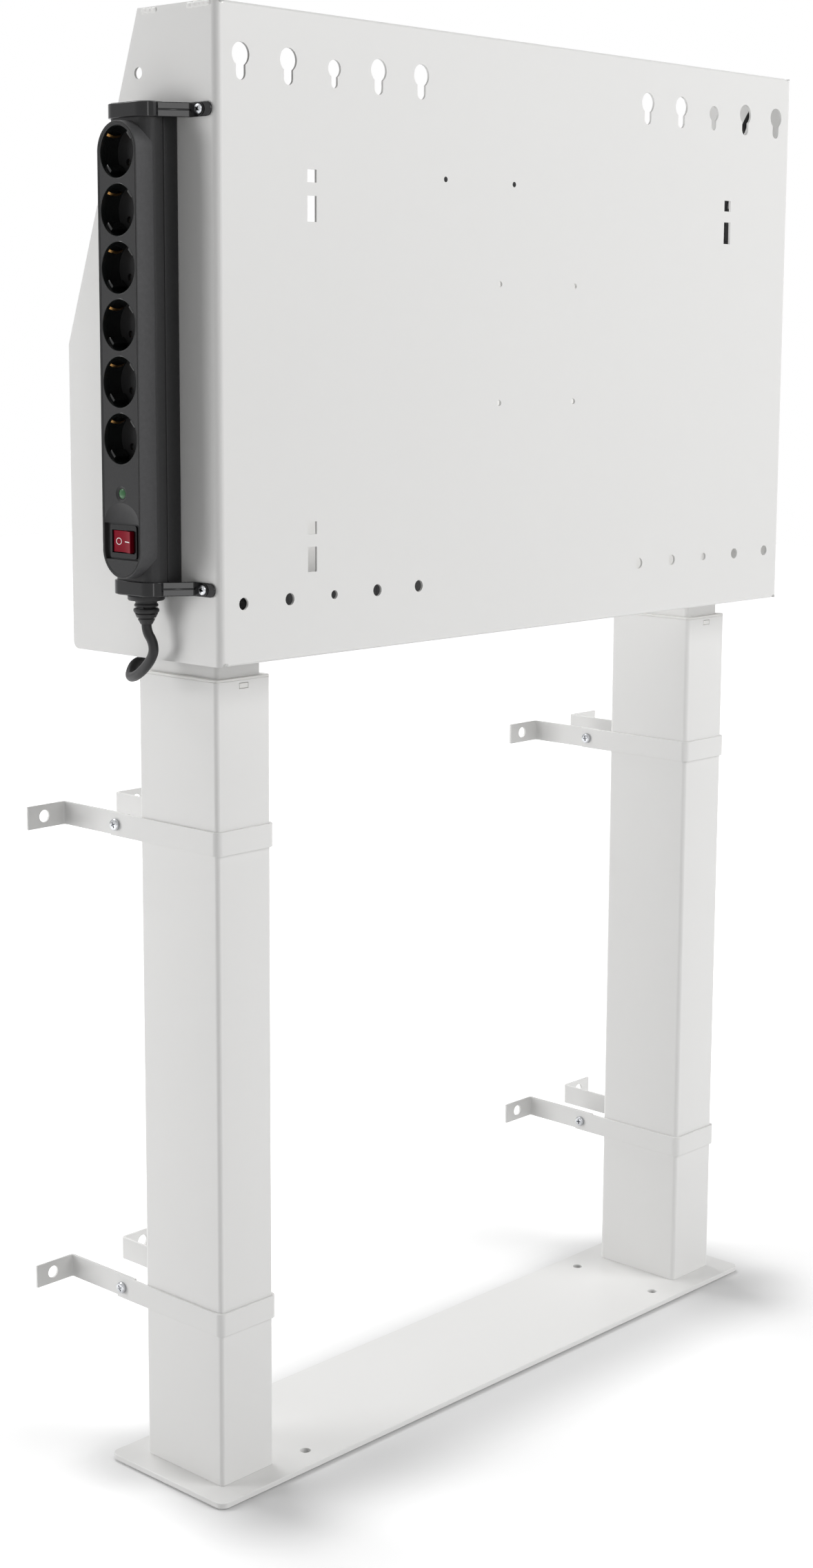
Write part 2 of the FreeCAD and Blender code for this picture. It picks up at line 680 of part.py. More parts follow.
def wall_brackets():
    screws = []
    nuts = []
    for side, sign in SIDES:
        for level, z in LEVELS:
            strap(side, sign, level, z)
            arms = [wall_arm(side, sign, level, z, hand) for hand in (-1, 1)]
            piece(group(*arms), "wall_arms_%s_%s" % (side, level))
            for hand in (-1, 1):
                face = column_x(sign) + (s.outer_width / 2 + s.strap_thickness) * hand
                way = "-X" if hand > 0 else "+X"
                grip = s.strap_thickness + s.arm_thickness
                place = (face, bracket_screw_y, z)
                screws.append(pan_screw(place, way, s.bracket_head_dia, s.bracket_head_height,
                                        s.bracket_screw_dia, grip + s.bracket_nut_height + 1))
                nuts.append(hex_nut(shifted(place, way, grip), way, s.bracket_nut_width,
                                    s.bracket_nut_height, s.bracket_screw_dia))
    piece(group(*screws), "bracket_screws")
    piece(group(*nuts), "bracket_nuts")


# The rows of screen holes start three pitches from the middle. The fifth pair has smaller holes.
FIRST_STEP = 3
NARROW_STEP = 5


def mounting_box():
    """The folded steel box: front plate, top and bottom flange, two side panels."""
    body = doc.addObject("PartDesign::Body", "folded_box")
    t = s.sheet_metal
    front = s.plate_front_y
    top = box_top
    bottom = box_bottom
    inner_bend = s.flange_bend - t
    flat = box_side - s.bend_radius
    clear = front + s.bend_radius
    pad(body, "YZ", -flat, flat * 2,
        outline((front + s.top_flange, top), (front, top, s.flange_bend), (front, bottom, s.flange_bend),
                (front + s.bottom_flange, bottom), (front + s.bottom_flange, bottom + t),
                (front + t, bottom + t, inner_bend), (front + t, top - t, inner_bend),
                (front + s.top_flange, top - t)))
    back_low = front + s.side_depth_low
    back_top = front + s.side_depth_top
    for side, sign in SIDES:
        outer = box_side * sign
        inner = (box_side - t) * sign
        edge = (flat - 1) * sign
        pad(body, "XY", bottom, s.box_height,
            outline((edge, front), (outer, front, s.bend_radius), (outer, clear + 1), (inner, clear + 1),
                    (inner, front + t, s.bend_radius - t), (edge, front + t)))
        pad(body, "YZ", inner if sign > 0 else outer, t,
            outline((clear, bottom), (back_low, bottom, s.side_corner), (back_low, bottom + s.side_kink),
                    (back_top, top), (clear, top)))
        low_flange = (bottom, box_side - s.side_flange, s.side_flange - t, back_low - s.side_corner)
        high_flange = (top - t, flat - 1, s.bend_radius - t + 1, front + s.top_flange)
        for z, near, reach, far in (low_flange, high_flange):
            low_x = near if sign > 0 else -near - reach
            pad(body, "XY", z, t, rectangle(low_x, clear + s.relief_dia, low_x + reach, far))
    last = int((box_side - s.hole_margin).value // s.hole_pitch.value)
    steps = [step for step in range(FIRST_STEP, last + 1) if step != NARROW_STEP]
    columns = [s.hole_pitch * (step * sign) for step in steps for sign in (-1, 1)]
    narrow = [s.hole_pitch * (NARROW_STEP * sign) for sign in (-1, 1)]
    keyhole_z = high_row_z + s.keyhole_rise
    small_z = high_row_z + s.small_keyhole_rise
    pocket(body, "XZ", front, t,
           *[disc(x, low_row_z, s.round_hole_dia) for x in columns],
           *[disc(x, low_row_z, s.small_round_dia) for x in narrow],
           *[disc(x, keyhole_z, s.keyhole_dia) for x in columns],
           *[disc(x, small_z, s.small_keyhole_dia) for x in narrow],
           *[disc(s.vesa_pitch / 2 * across, pattern_z + s.vesa_pitch / 2 * up, s.vesa_hole_dia)
             for across in (-1, 1) for up in (-1, 1)],
           *control_screw_discs())
    half = s.keyhole_slot / 2
    small_half = s.small_keyhole_slot / 2
    pocket(body, "XZ", front, t,
           *[rectangle(x - half, high_row_z, x + half, keyhole_z) for x in columns],
           *[rectangle(x - small_half, high_row_z, x + small_half, small_z) for x in narrow])
    pocket(body, "XZ", front, t,
           *[disc(x, high_row_z, s.keyhole_slot) for x in columns],
           *[disc(x, high_row_z, s.small_keyhole_slot) for x in narrow])
    slots = []
    half = s.slot_width / 2
    left = -s.slot_x
    for x, slot_top in ((left, s.upper_slot_top), (s.slot_x, s.upper_slot_top), (left, s.lower_slot_top)):
        high = box_bottom + slot_top
        low = high - s.slot_short - s.slot_step
        slots.append(rectangle(x - half, high - s.slot_short, x + half, high))
        slots.append(rectangle(x - half, low - s.slot_long, x + half, low))
    pocket(body, "XZ", front, t, *slots)
    side_hole = disc(front + s.side_hole_back, top - s.side_hole_drop, s.side_hole_dia)
    pocket(body, "YZ", -box_side - 1, box_width + 2, side_hole)
    pocket(body, "YZ", -box_side - 1, t + 2,
           *[disc(saddle_screw_y, z, s.saddle_screw_dia) for z in (saddle_low, saddle_high)])
    lead_hole = disc(receiver_y, receiver_z, s.lead_dia + s.lead_hole_gap * 2)
    pocket(body, "YZ", box_side - t - 1, t + 2, lead_hole)
    pocket(body, "XZ", front - 1, s.bend_radius + 1,
           *[disc(flat * sign, z, s.relief_dia) for sign in (-1, 1) for z in (bottom, top)])
    sinks = [cone((x, front, control_z), "+Y", s.control_head_dia, s.control_screw_dia, s.control_head_height)
             for x in control_screw_xs()]
    piece(cut(body, *sinks), "mounting_box")


def control_screw_xs():
    return [s.control_x + s.control_spacing / 2 * across for across in (-1, 1)]


def control_screw_discs():
    return [disc(x, control_z, s.control_screw_dia) for x in control_screw_xs()]


def cross_panel():
    body = new_body("cross_panel")
    t = s.sheet_metal
    low = panel_low
    high = low + s.panel_height
    pad(body, "YZ", -panel_width / 2, panel_width,
        outline((tube_front_y, low), (tube_front_y, high), (panel_front_y - s.panel_flange, high),
                (panel_front_y - s.panel_flange, high - t), (panel_front_y, high - t),
                (panel_front_y, low + t), (panel_front_y - s.panel_flange, low + t),
                (panel_front_y - s.panel_flange, low)))
    discs = [hole for side, sign in SIDES for hole in column_screw_discs(column_x(sign))]
    pocket(body, "XZ", panel_front_y, t, *discs)


def spacer(side, sign):
    """Hat section between the front plate and the cross panel."""
    x = column_x(sign)
    t = s.sheet_metal
    web = s.spacer_web / 2
    foot = web + s.spacer_foot
    body = new_body("spacer_" + side)
    back = panel_front_y
    front = plate_back_y
    pad(body, "XY", spacer_low, spacer_height,
        outline((x - foot, front), (x - web + t, front), (x - web + t, back - t), (x + web - t, back - t),
                (x + web - t, front), (x + foot, front), (x + foot, front + t), (x + web, front + t),
                (x + web, back), (x - web, back), (x - web, front + t), (x - foot, front + t)))
    pocket(body, "XZ", back - t, t, *column_screw_discs(x))


def column_screws():
    screws = []
    nuts = []
    grip = s.sheet_metal * 2 + s.inner_wall
    for x, z in column_screw_places():
        place = (x, panel_front_y - s.sheet_metal, z)
        screws.append(pan_screw(place, "+Y", s.column_head_dia, s.column_head_height, s.column_screw_dia,
                                grip + s.column_nut_height + 1))
        nuts.append(hex_nut(shifted(place, "+Y", grip), "+Y", s.column_nut_width, s.column_nut_height,
                            s.column_screw_dia))
    piece(group(*screws), "column_screws")
    piece(group(*nuts), "column_nuts")


def control_box():
    body = new_body("control_box")
    pad(body, "XZ", plate_back_y, s.control_depth,
        middle_rectangle(s.control_x, control_z, s.control_width, s.control_height, s.control_corner))
    pocket(body, "XZ", plate_back_y, s.control_screw_length - s.sheet_metal, *control_screw_discs())
    screws = []
    for x in control_screw_xs():
        place = (x, s.plate_front_y, control_z)
        head = cone(place, "+Y", s.control_head_dia, s.control_screw_dia, s.control_head_height)
        shank = rod(shifted(place, "+Y", s.control_head_height), "+Y", s.control_screw_dia,
                    s.control_screw_length - s.control_head_height)
        screws.append(joined(head, shank))
    piece(group(*screws), "control_box_screws")


def power_supply():
    body = new_body("power_supply")
    low_y = panel_front_y - s.supply_depth
    pad(body, "XZ", low_y, s.supply_depth,
        middle_rectangle(supply_x, supply_z, s.supply_width, s.supply_height, s.supply_corner))
    pad(body, "YZ", supply_end_x - s.supply_gland_length, s.supply_gland_length + 1,
        disc(supply_y, supply_z, s.supply_gland_dia))


def remote_receiver():
    """Pad on the outside of the right side panel with a domed eye on it."""
    body = new_body("remote_receiver")
    face = box_side
    pad(body, "YZ", face, s.receiver_base,
        middle_rectangle(receiver_y, receiver_z, s.receiver_width, s.receiver_height, s.receiver_corner))
    pad(body, "YZ", face + s.receiver_base, s.receiver_eye_height,
        disc(receiver_y, receiver_eye_z, s.receiver_eye_dia))


def strip_base():
    body = doc.addObject("PartDesign::Body", "tray")
    pad(body, "YZ", strip_split_x, s.strip_base_height,
        middle_rectangle(strip_y, strip_middle_z, s.strip_width, strip_length, s.strip_corner))
    pocket(body, "YZ", strip_split_x, s.strip_base_height - s.strip_wall, strip_hollow())
    piece(cut(body, gland_hole()), "strip_base")


def strip_hollow():
    wall = s.strip_wall
    return middle_rectangle(strip_y, strip_middle_z, s.strip_width - wall * 2, strip_length - wall * 2,
                            s.strip_corner - wall)


def gland_hole():
    return rod((gland_x, strip_y, strip_bottom - 1), "+Z", s.gland_spigot_dia, s.strip_wall + 2)


def socket_heights():
    return [socket_top - s.socket_pitch * number for number in range(SOCKETS)]


def face_outline(inset):
    """The raised face's outline with its rounded ends, drawn in by the inset."""
    inset = as_size(inset)
    return middle_rectangle(strip_y, face_middle_z, s.strip_face_width - inset * 2, face_length - inset * 2,
                            s.strip_face_width / 2 - s.strip_face_flat - inset)


def face_prism(length, inset):
    body = doc.addObject("PartDesign::Body", "prism")
    pad(body, "YZ", strip_face_x, length, face_outline(inset))
    return body


def low_shell_outline(inset):
    """The low body's cross-section with its two rounded long edges, drawn in by the inset."""
    near = strip_side_y + inset
    far = strip_side_y + s.strip_width - inset
    front = strip_low_x + inset
    return outline((strip_split_x, near), (strip_split_x, far), (front, far, s.strip_round - inset),
                   (front, near, s.strip_round - inset))


def strip_cover():
    """Top shell of the strip: low body, raised ridge, six socket wells, recess for the switch."""
    wall = s.strip_wall
    outer = strip_face_x
    body = doc.addObject("PartDesign::Body", "shell")
    pad(body, "XY", strip_bottom, strip_length, low_shell_outline(0))
    ridge = pad(body, "YZ", outer, s.ridge_height, face_outline(0))
    ridge.TaperAngle = math.degrees(math.atan(s.ridge_spread.value / s.ridge_height.value))
    pocket(body, "XY", strip_bottom + wall, strip_length - wall * 2, low_shell_outline(wall))
    pocket(body, "YZ", outer + wall, s.ridge_height, face_outline(wall))
    well_dia = s.socket_dia + s.socket_wall * 2
    well_depth = s.socket_depth + s.socket_floor
    wells = [rod((outer, strip_y, z), "+X", well_dia, well_depth) for z in socket_heights()]
    boss_low = recess_low - wall
    boss = within(face_prism(s.recess_depth + wall, s.strip_face_flat),
                  block((outer, strip_y - s.strip_face_width / 2, boss_low),
                        (s.recess_depth + wall, s.strip_face_width, scoop_top - boss_low)))
    shell = joined(body, boss, *wells)
    tools = [rod((outer, strip_y, z), "+X", s.socket_dia, s.socket_depth) for z in socket_heights()]
    slant = s.pin_circle / 2 * math.sqrt(0.5)
    for z in socket_heights():
        for hand in (-1, 1):
            place = (outer + s.socket_depth, strip_y + slant * hand, z - slant * hand)
            tools.append(rod(place, "+X", s.pin_hole_dia, s.socket_floor))
    tools.append(within(face_prism(s.recess_depth, wall / 2),
                        block((outer, strip_y - recess_width / 2, recess_low),
                              (s.recess_depth, recess_width, recess_high - recess_low))))
    neck_width = s.switch_width - s.switch_ledge * 2
    neck_height = s.switch_height - s.switch_ledge * 2
    tools.append(block((outer, strip_y - neck_width / 2, switch_z - neck_height / 2),
                       (s.recess_depth + wall, neck_width, neck_height)))
    tools.append(rod((outer, strip_y, light_z), "+X", s.light_dia, wall))
    tools.append(gland_hole())
    tools.append(thumb_scoop())
    piece(cut(shell, *tools), "strip_cover")


def thumb_scoop():
    """A wide cylinder laid on a slant, which leaves an arched dip above the switch."""
    depth = s.recess_depth.value
    run = s.scoop_length.value
    half = recess_width.value / 2
    radius = (half ** 2 + depth ** 2) / (2 * depth)
    slant = math.atan2(depth, run)
    tool = doc.addObject("Part::Cylinder", "scoop")
    tool.Radius = radius
    tool.Height = run / math.cos(slant) * 1.2
    start = FreeCAD.Vector(strip_face_x.value + depth - radius * math.cos(slant), strip_y.value,
                           recess_high.value - radius * math.sin(slant))
    tool.Placement = FreeCAD.Placement(start, FreeCAD.Rotation(FreeCAD.Vector(0, 1, 0), -math.degrees(slant)))
    return tool


def contact_bar(label, hand):
    """Brass bar on the tray's floor with one contact sleeve under each pin hole."""
    slant = s.pin_circle / 2 * math.sqrt(0.5)
    floor = strip_back_x - s.strip_wall
    top = floor - s.bar_sheet
    y = strip_y + slant * hand
    heights = [z - slant * hand for z in socket_heights()]
    bar = block((top, y - s.bar_width / 2, heights[-1] - s.bar_end),
                (s.bar_sheet, s.bar_width, heights[0] - heights[-1] + s.bar_end * 2))
    reach = s.strip_height - s.socket_depth - s.socket_floor - s.strip_wall - s.bar_sheet - s.slide_gap
    bore_dia = s.sleeve_dia - s.sleeve_wall * 3
    sleeves = [rod((top, y, z), "-X", s.sleeve_dia, reach) for z in heights]
    bores = [rod((top, y, z), "-X", bore_dia, reach) for z in heights]
    piece(cut(joined(bar, *sleeves), *bores), label)


def earth_clips():
    """Two sprung brass clips on the wall of each well."""
    clips = []
    reach = s.socket_dia.value / 2 - s.clip_prong_sheet.value - s.clip_gap.value
    half = s.clip_prong_width.value / 2
    low_x = (strip_face_x + s.socket_depth - s.clip_prong_length).value
    for z in socket_heights():
        for angle in (-45, 135):
            turn = FreeCAD.Rotation(FreeCAD.Vector(1, 0, 0), angle)
            radial = turn.multVec(FreeCAD.Vector(0, 0, 1))
            across = turn.multVec(FreeCAD.Vector(0, 1, 0))
            clip = doc.addObject("Part::Box", "prong")
            bind(clip, "Length", s.clip_prong_length)
            bind(clip, "Width", s.clip_prong_width)
            bind(clip, "Height", s.clip_prong_sheet)
            spot = FreeCAD.Vector(low_x, strip_y.value, z.value) + radial * reach - across * half
            clip.Placement = FreeCAD.Placement(spot, turn)
            clips.append(clip)
    piece(group(*clips), "earth_clips")


def switch_frame():
    seat = strip_face_x + s.recess_depth
    body = new_body("switch_frame")
    neck_width = s.switch_width - s.switch_ledge * 2
    neck_height = s.switch_height - s.switch_ledge * 2
    window_width = s.rocker_width + s.rocker_gap * 3
    window_height = s.rocker_height + s.rocker_gap * 2
    pad(body, "YZ", seat - s.switch_rim, s.switch_rim,
        middle_rectangle(strip_y, switch_z, s.switch_width, s.switch_height, 2))
    pad(body, "YZ", seat, s.switch_depth, middle_rectangle(strip_y, switch_z, neck_width, neck_height))
    pocket(body, "YZ", seat - s.switch_rim, s.switch_depth - s.switch_rim,
           middle_rectangle(strip_y, switch_z, window_width, window_height))
    reach = s.rocker_height + (s.rocker_pin_length + s.slide_gap) * 2
    pin_hole = disc(pivot_x, strip_y, s.rocker_pin_dia + s.spindle_gap * 2)
    pocket(body, "XY", switch_z - reach / 2, reach, pin_hole)


def rocker():
    """The tilting key with its two pivot pins. At rest its wall side is pressed in."""
    half = s.rocker_width / 2
    back = s.rocker_back_width / 2
    body = new_body("switch_rocker")
    pad(body, "XY", -s.rocker_height / 2, s.rocker_height,
        outline((s.rocker_back, -back), (-s.rocker_tip, -half), (-s.rocker_dip, 0), (-s.rocker_tip, half),
                (s.rocker_back, back)))
    pins = s.rocker_height + s.rocker_pin_length * 2
    pad(body, "XY", -pins / 2, pins, disc(0, 0, s.rocker_pin_dia))
    turn = FreeCAD.Rotation(FreeCAD.Vector(0, 0, 1), -s.rocker_swing.value / 2)
    body.Placement = FreeCAD.Placement(FreeCAD.Vector(), turn)
    bind(body, "Placement.Base.x", pivot_x)
    bind(body, "Placement.Base.y", strip_y)
    bind(body, "Placement.Base.z", switch_z)


def pilot_light():
    body = new_body("pilot_light")
    pin = disc(strip_y, light_z, s.light_dia)
    rim = disc(strip_y, light_z, s.light_dia + s.light_rim * 2)
    pad(body, "YZ", strip_face_x - s.light_dome, s.strip_wall + s.light_dome, pin)
    pad(body, "YZ", strip_face_x + s.strip_wall, s.light_rim, rim)


def strain_relief():
    """Round flange under the strip's end, two bulges and a taper down to the cord."""
    flange = s.gland_flange_dia / 2
    spigot = s.gland_spigot_dia / 2
    cord = s.cord_dia / 2
    taper = s.gland_length - s.gland_flange
    turned("strain_relief", gland_x, strip_y,
           (0, gland_bottom), (cord + 0.8, gland_bottom), (cord + 4.5, gland_bottom + taper * 0.47),
           (spigot + 1.3, gland_bottom + taper * 0.6), (spigot + 0.2, gland_bottom + taper * 0.69),
           (spigot + 1, gland_bottom + taper * 0.78), (spigot + 0.1, gland_bottom + taper * 0.865),
           (flange, strip_bottom - s.gland_flange), (flange, strip_bottom), (spigot, strip_bottom),
           (spigot, strip_bottom + s.gland_spigot), (0, strip_bottom + s.gland_spigot))


def cable_saddle(label, z):
    """One-footed clip over the end of the strip."""
    face = strip_back_x
    t = s.saddle_sheet
    near = strip_side_y
    far = near + s.strip_width
    foot = near - s.saddle_slope
    end = near - s.saddle_reach + s.saddle_width / 2
    body = new_body(label)
    pad(body, "XY", z - s.saddle_width / 2, s.saddle_width,
        outline((face, end), (face, foot), (strip_low_x + s.saddle_lip, near),
                (strip_low_x, near, s.strip_round), (strip_low_x, far, s.strip_round), (face, far),
                (face, far + t), (strip_low_x - t, far + t, s.strip_round + t),
                (strip_low_x - t, near - t, s.strip_round + t), (strip_low_x + s.saddle_lip - t, near - t),
                (face - t, foot - t), (face - t, end)))
    pad(body, "YZ", face - t, t, disc(end, z, s.saddle_width))
    pocket(body, "YZ", face - t, t, disc(saddle_screw_y, z, s.saddle_screw_dia))


def saddle_screws():
    screws = []
    for z in (saddle_low, saddle_high):
        place = (strip_back_x - s.saddle_sheet, saddle_screw_y, z)
        screws.append(pan_screw(place, "+X", s.saddle_head_dia, s.saddle_head_height, s.saddle_screw_dia,
                                s.saddle_sheet + s.sheet_metal * 2))
    piece(group(*screws), "saddle_screws")


def tube_along(label, points, diameter):
    """A cord's tube: straight runs joined by tangent arcs as large as the runs allow."""
    spots = [FreeCAD.Vector(*p) for p in points]
    runs = [(b - a) for a, b in zip(spots, spots[1:])]
    edges = []
    radii = []
    start = spots[0]
    for i in range(1, len(spots) - 1):
        before = runs[i - 1]
        after = runs[i]
        turn = before.getAngle(after)
        trim = 0.45 * min(before.Length, after.Length)
        radius = trim / math.tan(turn / 2)
        radii.append(radius)
        first = spots[i] - FreeCAD.Vector(before).normalize() * trim
        last = spots[i] + FreeCAD.Vector(after).normalize() * trim
        inward = (FreeCAD.Vector(after).normalize() - FreeCAD.Vector(before).normalize()).normalize()
        centre = spots[i] + inward * (radius / math.cos(turn / 2))
        crown = centre - inward * radius
        edges.append(Part.LineSegment(start, first).toShape())
        edges.append(Part.Arc(first, crown, last).toShape())
        start = last
    edges.append(Part.LineSegment(start, spots[-1]).toShape())
    path = Part.Wire(edges)
    profile = Part.Wire([Part.Circle(spots[0], runs[0], diameter / 2).toShape()])
    shape = path.makePipeShell([profile], True, True)
    expected = math.pi * diameter ** 2 / 4 * path.Length
    print("%s length %.1f tightest bend %.1f radii %s volume ratio %.4f" % (
        label, path.Length, min(radii), [round(r, 1) for r in radii], shape.Volume / expected))
    tube = doc.addObject("Part::Feature", label)
    tube.Shape = shape
    return piece(tube, label)


def strip_cord():
    """Hangs from the strain relief, curls to the wall and under the side panel, and ends in the supply."""
    x = gland_x.value
    y = strip_y.value
    z = gland_bottom.value
    end_x = (supply_end_x - s.supply_gland_length).value
    end_y = supply_y.value
    end_z = supply_z.value
    tube_along("strip_cord", [
        (x, y, z), (x, y, z - 5.5), (x + 2.4, y - 5, z - 14), (x + 4, y - 3.5, z - 24.5),
        (x + 6.7, y + 11, z - 37), (x + 10.5, y + 27, z - 45.2), (x + 16, y + 40.5, z - 47),
        (x + 23.5, y + 43.5, z - 37), (x + 33.2, y + 40.5, z - 34.5), (x + 37, y + 34, z - 21),
        (x + 38, y + 18, z - 7), (x + 38, y - 3, z + 2), (end_x - 28.5, end_y + 30, end_z - 8),
        (end_x - 27, end_y + 12, end_z - 2), (end_x - 16, end_y, end_z), (end_x, end_y, end_z)],
        s.cord_dia.value)


def inner_leads():
    """The motor leads and the receiver's lead, held inside the box."""
    can_x = (s.column_span / 2 - s.motor_dia / 2).value
    can_z = (gear_top + s.motor_height / 2).value
    plate_y = plate_back_y.value
    box_y = (plate_back_y + s.control_depth / 2).value
    box_left = (s.control_x - s.control_width / 2).value
    box_right = (s.control_x + s.control_width / 2).value
    box_z = can_z - 16
    lead = s.lead_dia.value
    tube_along("motor_lead_left", [
        (-can_x, 0, can_z), (-can_x + 22, 0, can_z), (-can_x + 55, -14, can_z - 5),
        (-can_x + 95, -42, can_z - 12), (box_left - 23, box_y, box_z), (box_left, box_y, box_z)], lead)
    tube_along("motor_lead_right", [
        (can_x, 0, can_z), (can_x - 25, 0, can_z), (can_x - 68, -8, can_z - 2), (can_x - 120, -20, can_z - 7),
        (can_x - 175, -34, can_z - 11), (can_x - 228, -52, can_z - 14), (box_right + 28, box_y, box_z),
        (box_right, box_y, box_z)], lead)
    x = box_side.value
    y = receiver_y.value
    z = receiver_z.value
    edge = panel_top.value
    tube_along("receiver_lead", [
        (x, y, z), (x - 20, y, z), (x - 42, plate_y + 7.5, z - 12), (x - 65, plate_y + 5, z - 34),
        (x - 85, plate_y + 5, edge + 93), (x - 93, plate_y + 5.5, edge + 53),
        (x - 94, plate_y + 7.5, edge + 23), (x - 113, plate_y + 15.5, edge + 9),
        (box_right + 237, plate_y + 21.5, edge + 6),
        (box_right + 192, plate_y + 23.5, edge + 7.5), (box_right + 137, plate_y + 22.5, edge + 6),
        (box_right + 87, plate_y + 21.5, edge + 9), (box_right + 47, plate_y + 19, edge + 20),
        (box_right + 22, box_y, edge + 28), (box_right, box_y, edge + 28)], lead)


def build():
    base_plate()
    base_screws()
    for side, sign in SIDES:
        outer_column(side, sign)
        foot_block(side, sign)
        stand_tube(side, sign)
        spindle_nut(side, sign)
        glide_collar(side, sign)
        inner_column(side, sign)
        glide_shoe(side, sign)
        head_plate(side, sign)
        spindle_bearing(side, sign)
        spindle(side, sign)
        gear_motor(side, sign)
        spacer(side, sign)
    wall_brackets()
    mounting_box()
    cross_panel()
    column_screws()
    control_box()
    power_supply()
    remote_receiver()
    strip_base()
    strip_cover()
    contact_bar("live_bar", 1)
    contact_bar("neutral_bar", -1)
    earth_clips()
    switch_frame()
    rocker()
    pilot_light()
    strain_relief()
    cable_saddle("cable_saddle_lower", saddle_low)
    cable_saddle("cable_saddle_upper", saddle_high)
    saddle_screws()
    strip_cord()
    inner_leads()


def check():
    """Stop on a failed object, an invalid solid or a pocket that cuts nothing."""
    for thing in doc.Objects:
        for state in thing.State:
            if state in ("Invalid", "Error"):
                raise RuntimeError("%s %s is %s" % (thing.Name, thing.Label, state))
    for before, feature in pockets:
        if before.Shape.Volume - feature.Shape.Volume < 0.5:
            raise RuntimeError("%s in %s takes nothing away" % (feature.Name, feature.getParent().Label))
    for thing in pieces:
        shape = thing.Shape
        if shape.isNull() or not shape.isValid() or not shape.Solids:
            raise RuntimeError("%s has no valid solid" % thing.Label)


def export():
    os.makedirs("parts", exist_ok=True)
    for thing in pieces:
        thing.Shape.exportStep("parts/%s.step" % thing.Label)
    print(len(pieces), "nodes,", sum(len(thing.Shape.Solids) for thing in pieces), "solids")


build()
doc.recompute()
check()
export()
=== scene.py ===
import bmesh
import bpy
import json
import math
from mathutils import Matrix, Vector


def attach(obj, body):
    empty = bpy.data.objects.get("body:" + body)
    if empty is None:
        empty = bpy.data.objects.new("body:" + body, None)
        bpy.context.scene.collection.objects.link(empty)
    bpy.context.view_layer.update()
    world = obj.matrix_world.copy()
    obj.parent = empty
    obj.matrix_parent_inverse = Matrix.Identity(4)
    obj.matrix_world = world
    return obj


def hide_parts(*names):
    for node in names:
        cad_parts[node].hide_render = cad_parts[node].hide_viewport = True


# Looks of the motorized tv stand. Places are written in millimetres of the part's frame and
# turned into metres when a mesh is made. The camera, the floor and the lamps are in metres.

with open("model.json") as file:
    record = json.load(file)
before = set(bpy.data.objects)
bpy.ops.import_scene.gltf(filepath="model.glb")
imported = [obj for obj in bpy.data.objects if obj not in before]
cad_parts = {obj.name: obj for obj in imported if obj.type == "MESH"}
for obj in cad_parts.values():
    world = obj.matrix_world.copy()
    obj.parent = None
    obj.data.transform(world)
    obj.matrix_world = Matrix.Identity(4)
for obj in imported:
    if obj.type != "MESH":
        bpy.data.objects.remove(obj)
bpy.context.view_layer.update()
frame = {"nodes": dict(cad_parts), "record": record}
nodes = frame["nodes"]

# What the part's record says: the body and the slot of each node
record = frame["record"]
NODE_BODY = {node: body for body, group in record["behaviour"]["bodies"].items() for node in group}
NODE_SLOT = {row["node"]: row["material_slot"] for row in record["subparts"]}

MM = 0.001
WELD_GAP = 2e-6
NEARLY_FLAT = math.radians(0.5)
ROUNDED_FROM = math.radians(38)

# Columns, wall brackets and mounting box. A case is given as its left, right, low and high side.
SIDES = (("left", -1), ("right", 1))
LEVELS = (("lower", 148), ("upper", 555))
COLUMN_X = 313
BRACKET_SCREW_X = 32.5
BRACKET_SCREW_Y = 75
COLUMN_SCREW_HEIGHTS = (830, 980)
PLATE_FRONT = -87.5
BOX_SIDE = 375
SIDE_EDGE = 374.5
BOX_TOP = 1202.2
CONTROL_SCREW_XS = (-120, -33.4)
CONTROL_SCREW_Z = 1086.5
CONTROL_BOX = (-141.7, -11.7, 1050.5, 1122.5)
POWER_SUPPLY = (-317, -127, 731, 765)
RECEIVER_PAD = 2
RECEIVER_Y = -73
RECEIVER_EYE_Z = 1192

# Socket strip on the left side panel
STRIP_Y = -21
STRIP_FACE = -416
STRIP_AXIS_X = -392
FACE_MIDDLE = 945.25
FACE_HALF_RUN = 150.25
SOCKET_HEIGHTS = [1095 - 43 * number for number in range(6)]
RECESS_TOP = 815
PILOT_Z = 838
ROCKER_PIVOT = (-411, STRIP_Y, 801)
ROCKER_REST_TILT = -10
MARK_OUT = -3.35
MARK_SIDE = 6.15
SADDLE_HEIGHTS = (764.5, 1126)
SADDLE_ARM_START = Vector((-396, -46, 0))
SADDLE_ARM_STOP = Vector((-377, -60, 0))
SADDLE_SCREW_X = -377
SADDLE_SCREW_Y = -71
SUPPLY_GLAND = (-317, -61, 748)

# Lead screws
THREAD_START = 37
THREAD_PITCH = 10
THREAD_TURNS = 98
THREAD_STEPS = 16

# The photograph's frame in pixels, and the camera that was solved from it
PHOTO_HEIGHT = 2275
LENS_PIXELS = 3518.819
CENTRE_ROW = 1062.165
SENSOR = 36
CAMERA_PLACE = (-1.634595, -1.458693, 0.956577)
CAMERA_VIEW = Vector((0.72194, 0.67322, -0.15992))
CAMERA_LEVEL = Vector((0.68200, -0.73135, 0))
CAMERA_ROLL = math.radians(0.282)


def placed(name, data):
    """A new object at the origin, in the scene."""
    thing = bpy.data.objects.new(name, data)
    bpy.context.scene.collection.objects.link(thing)
    return thing


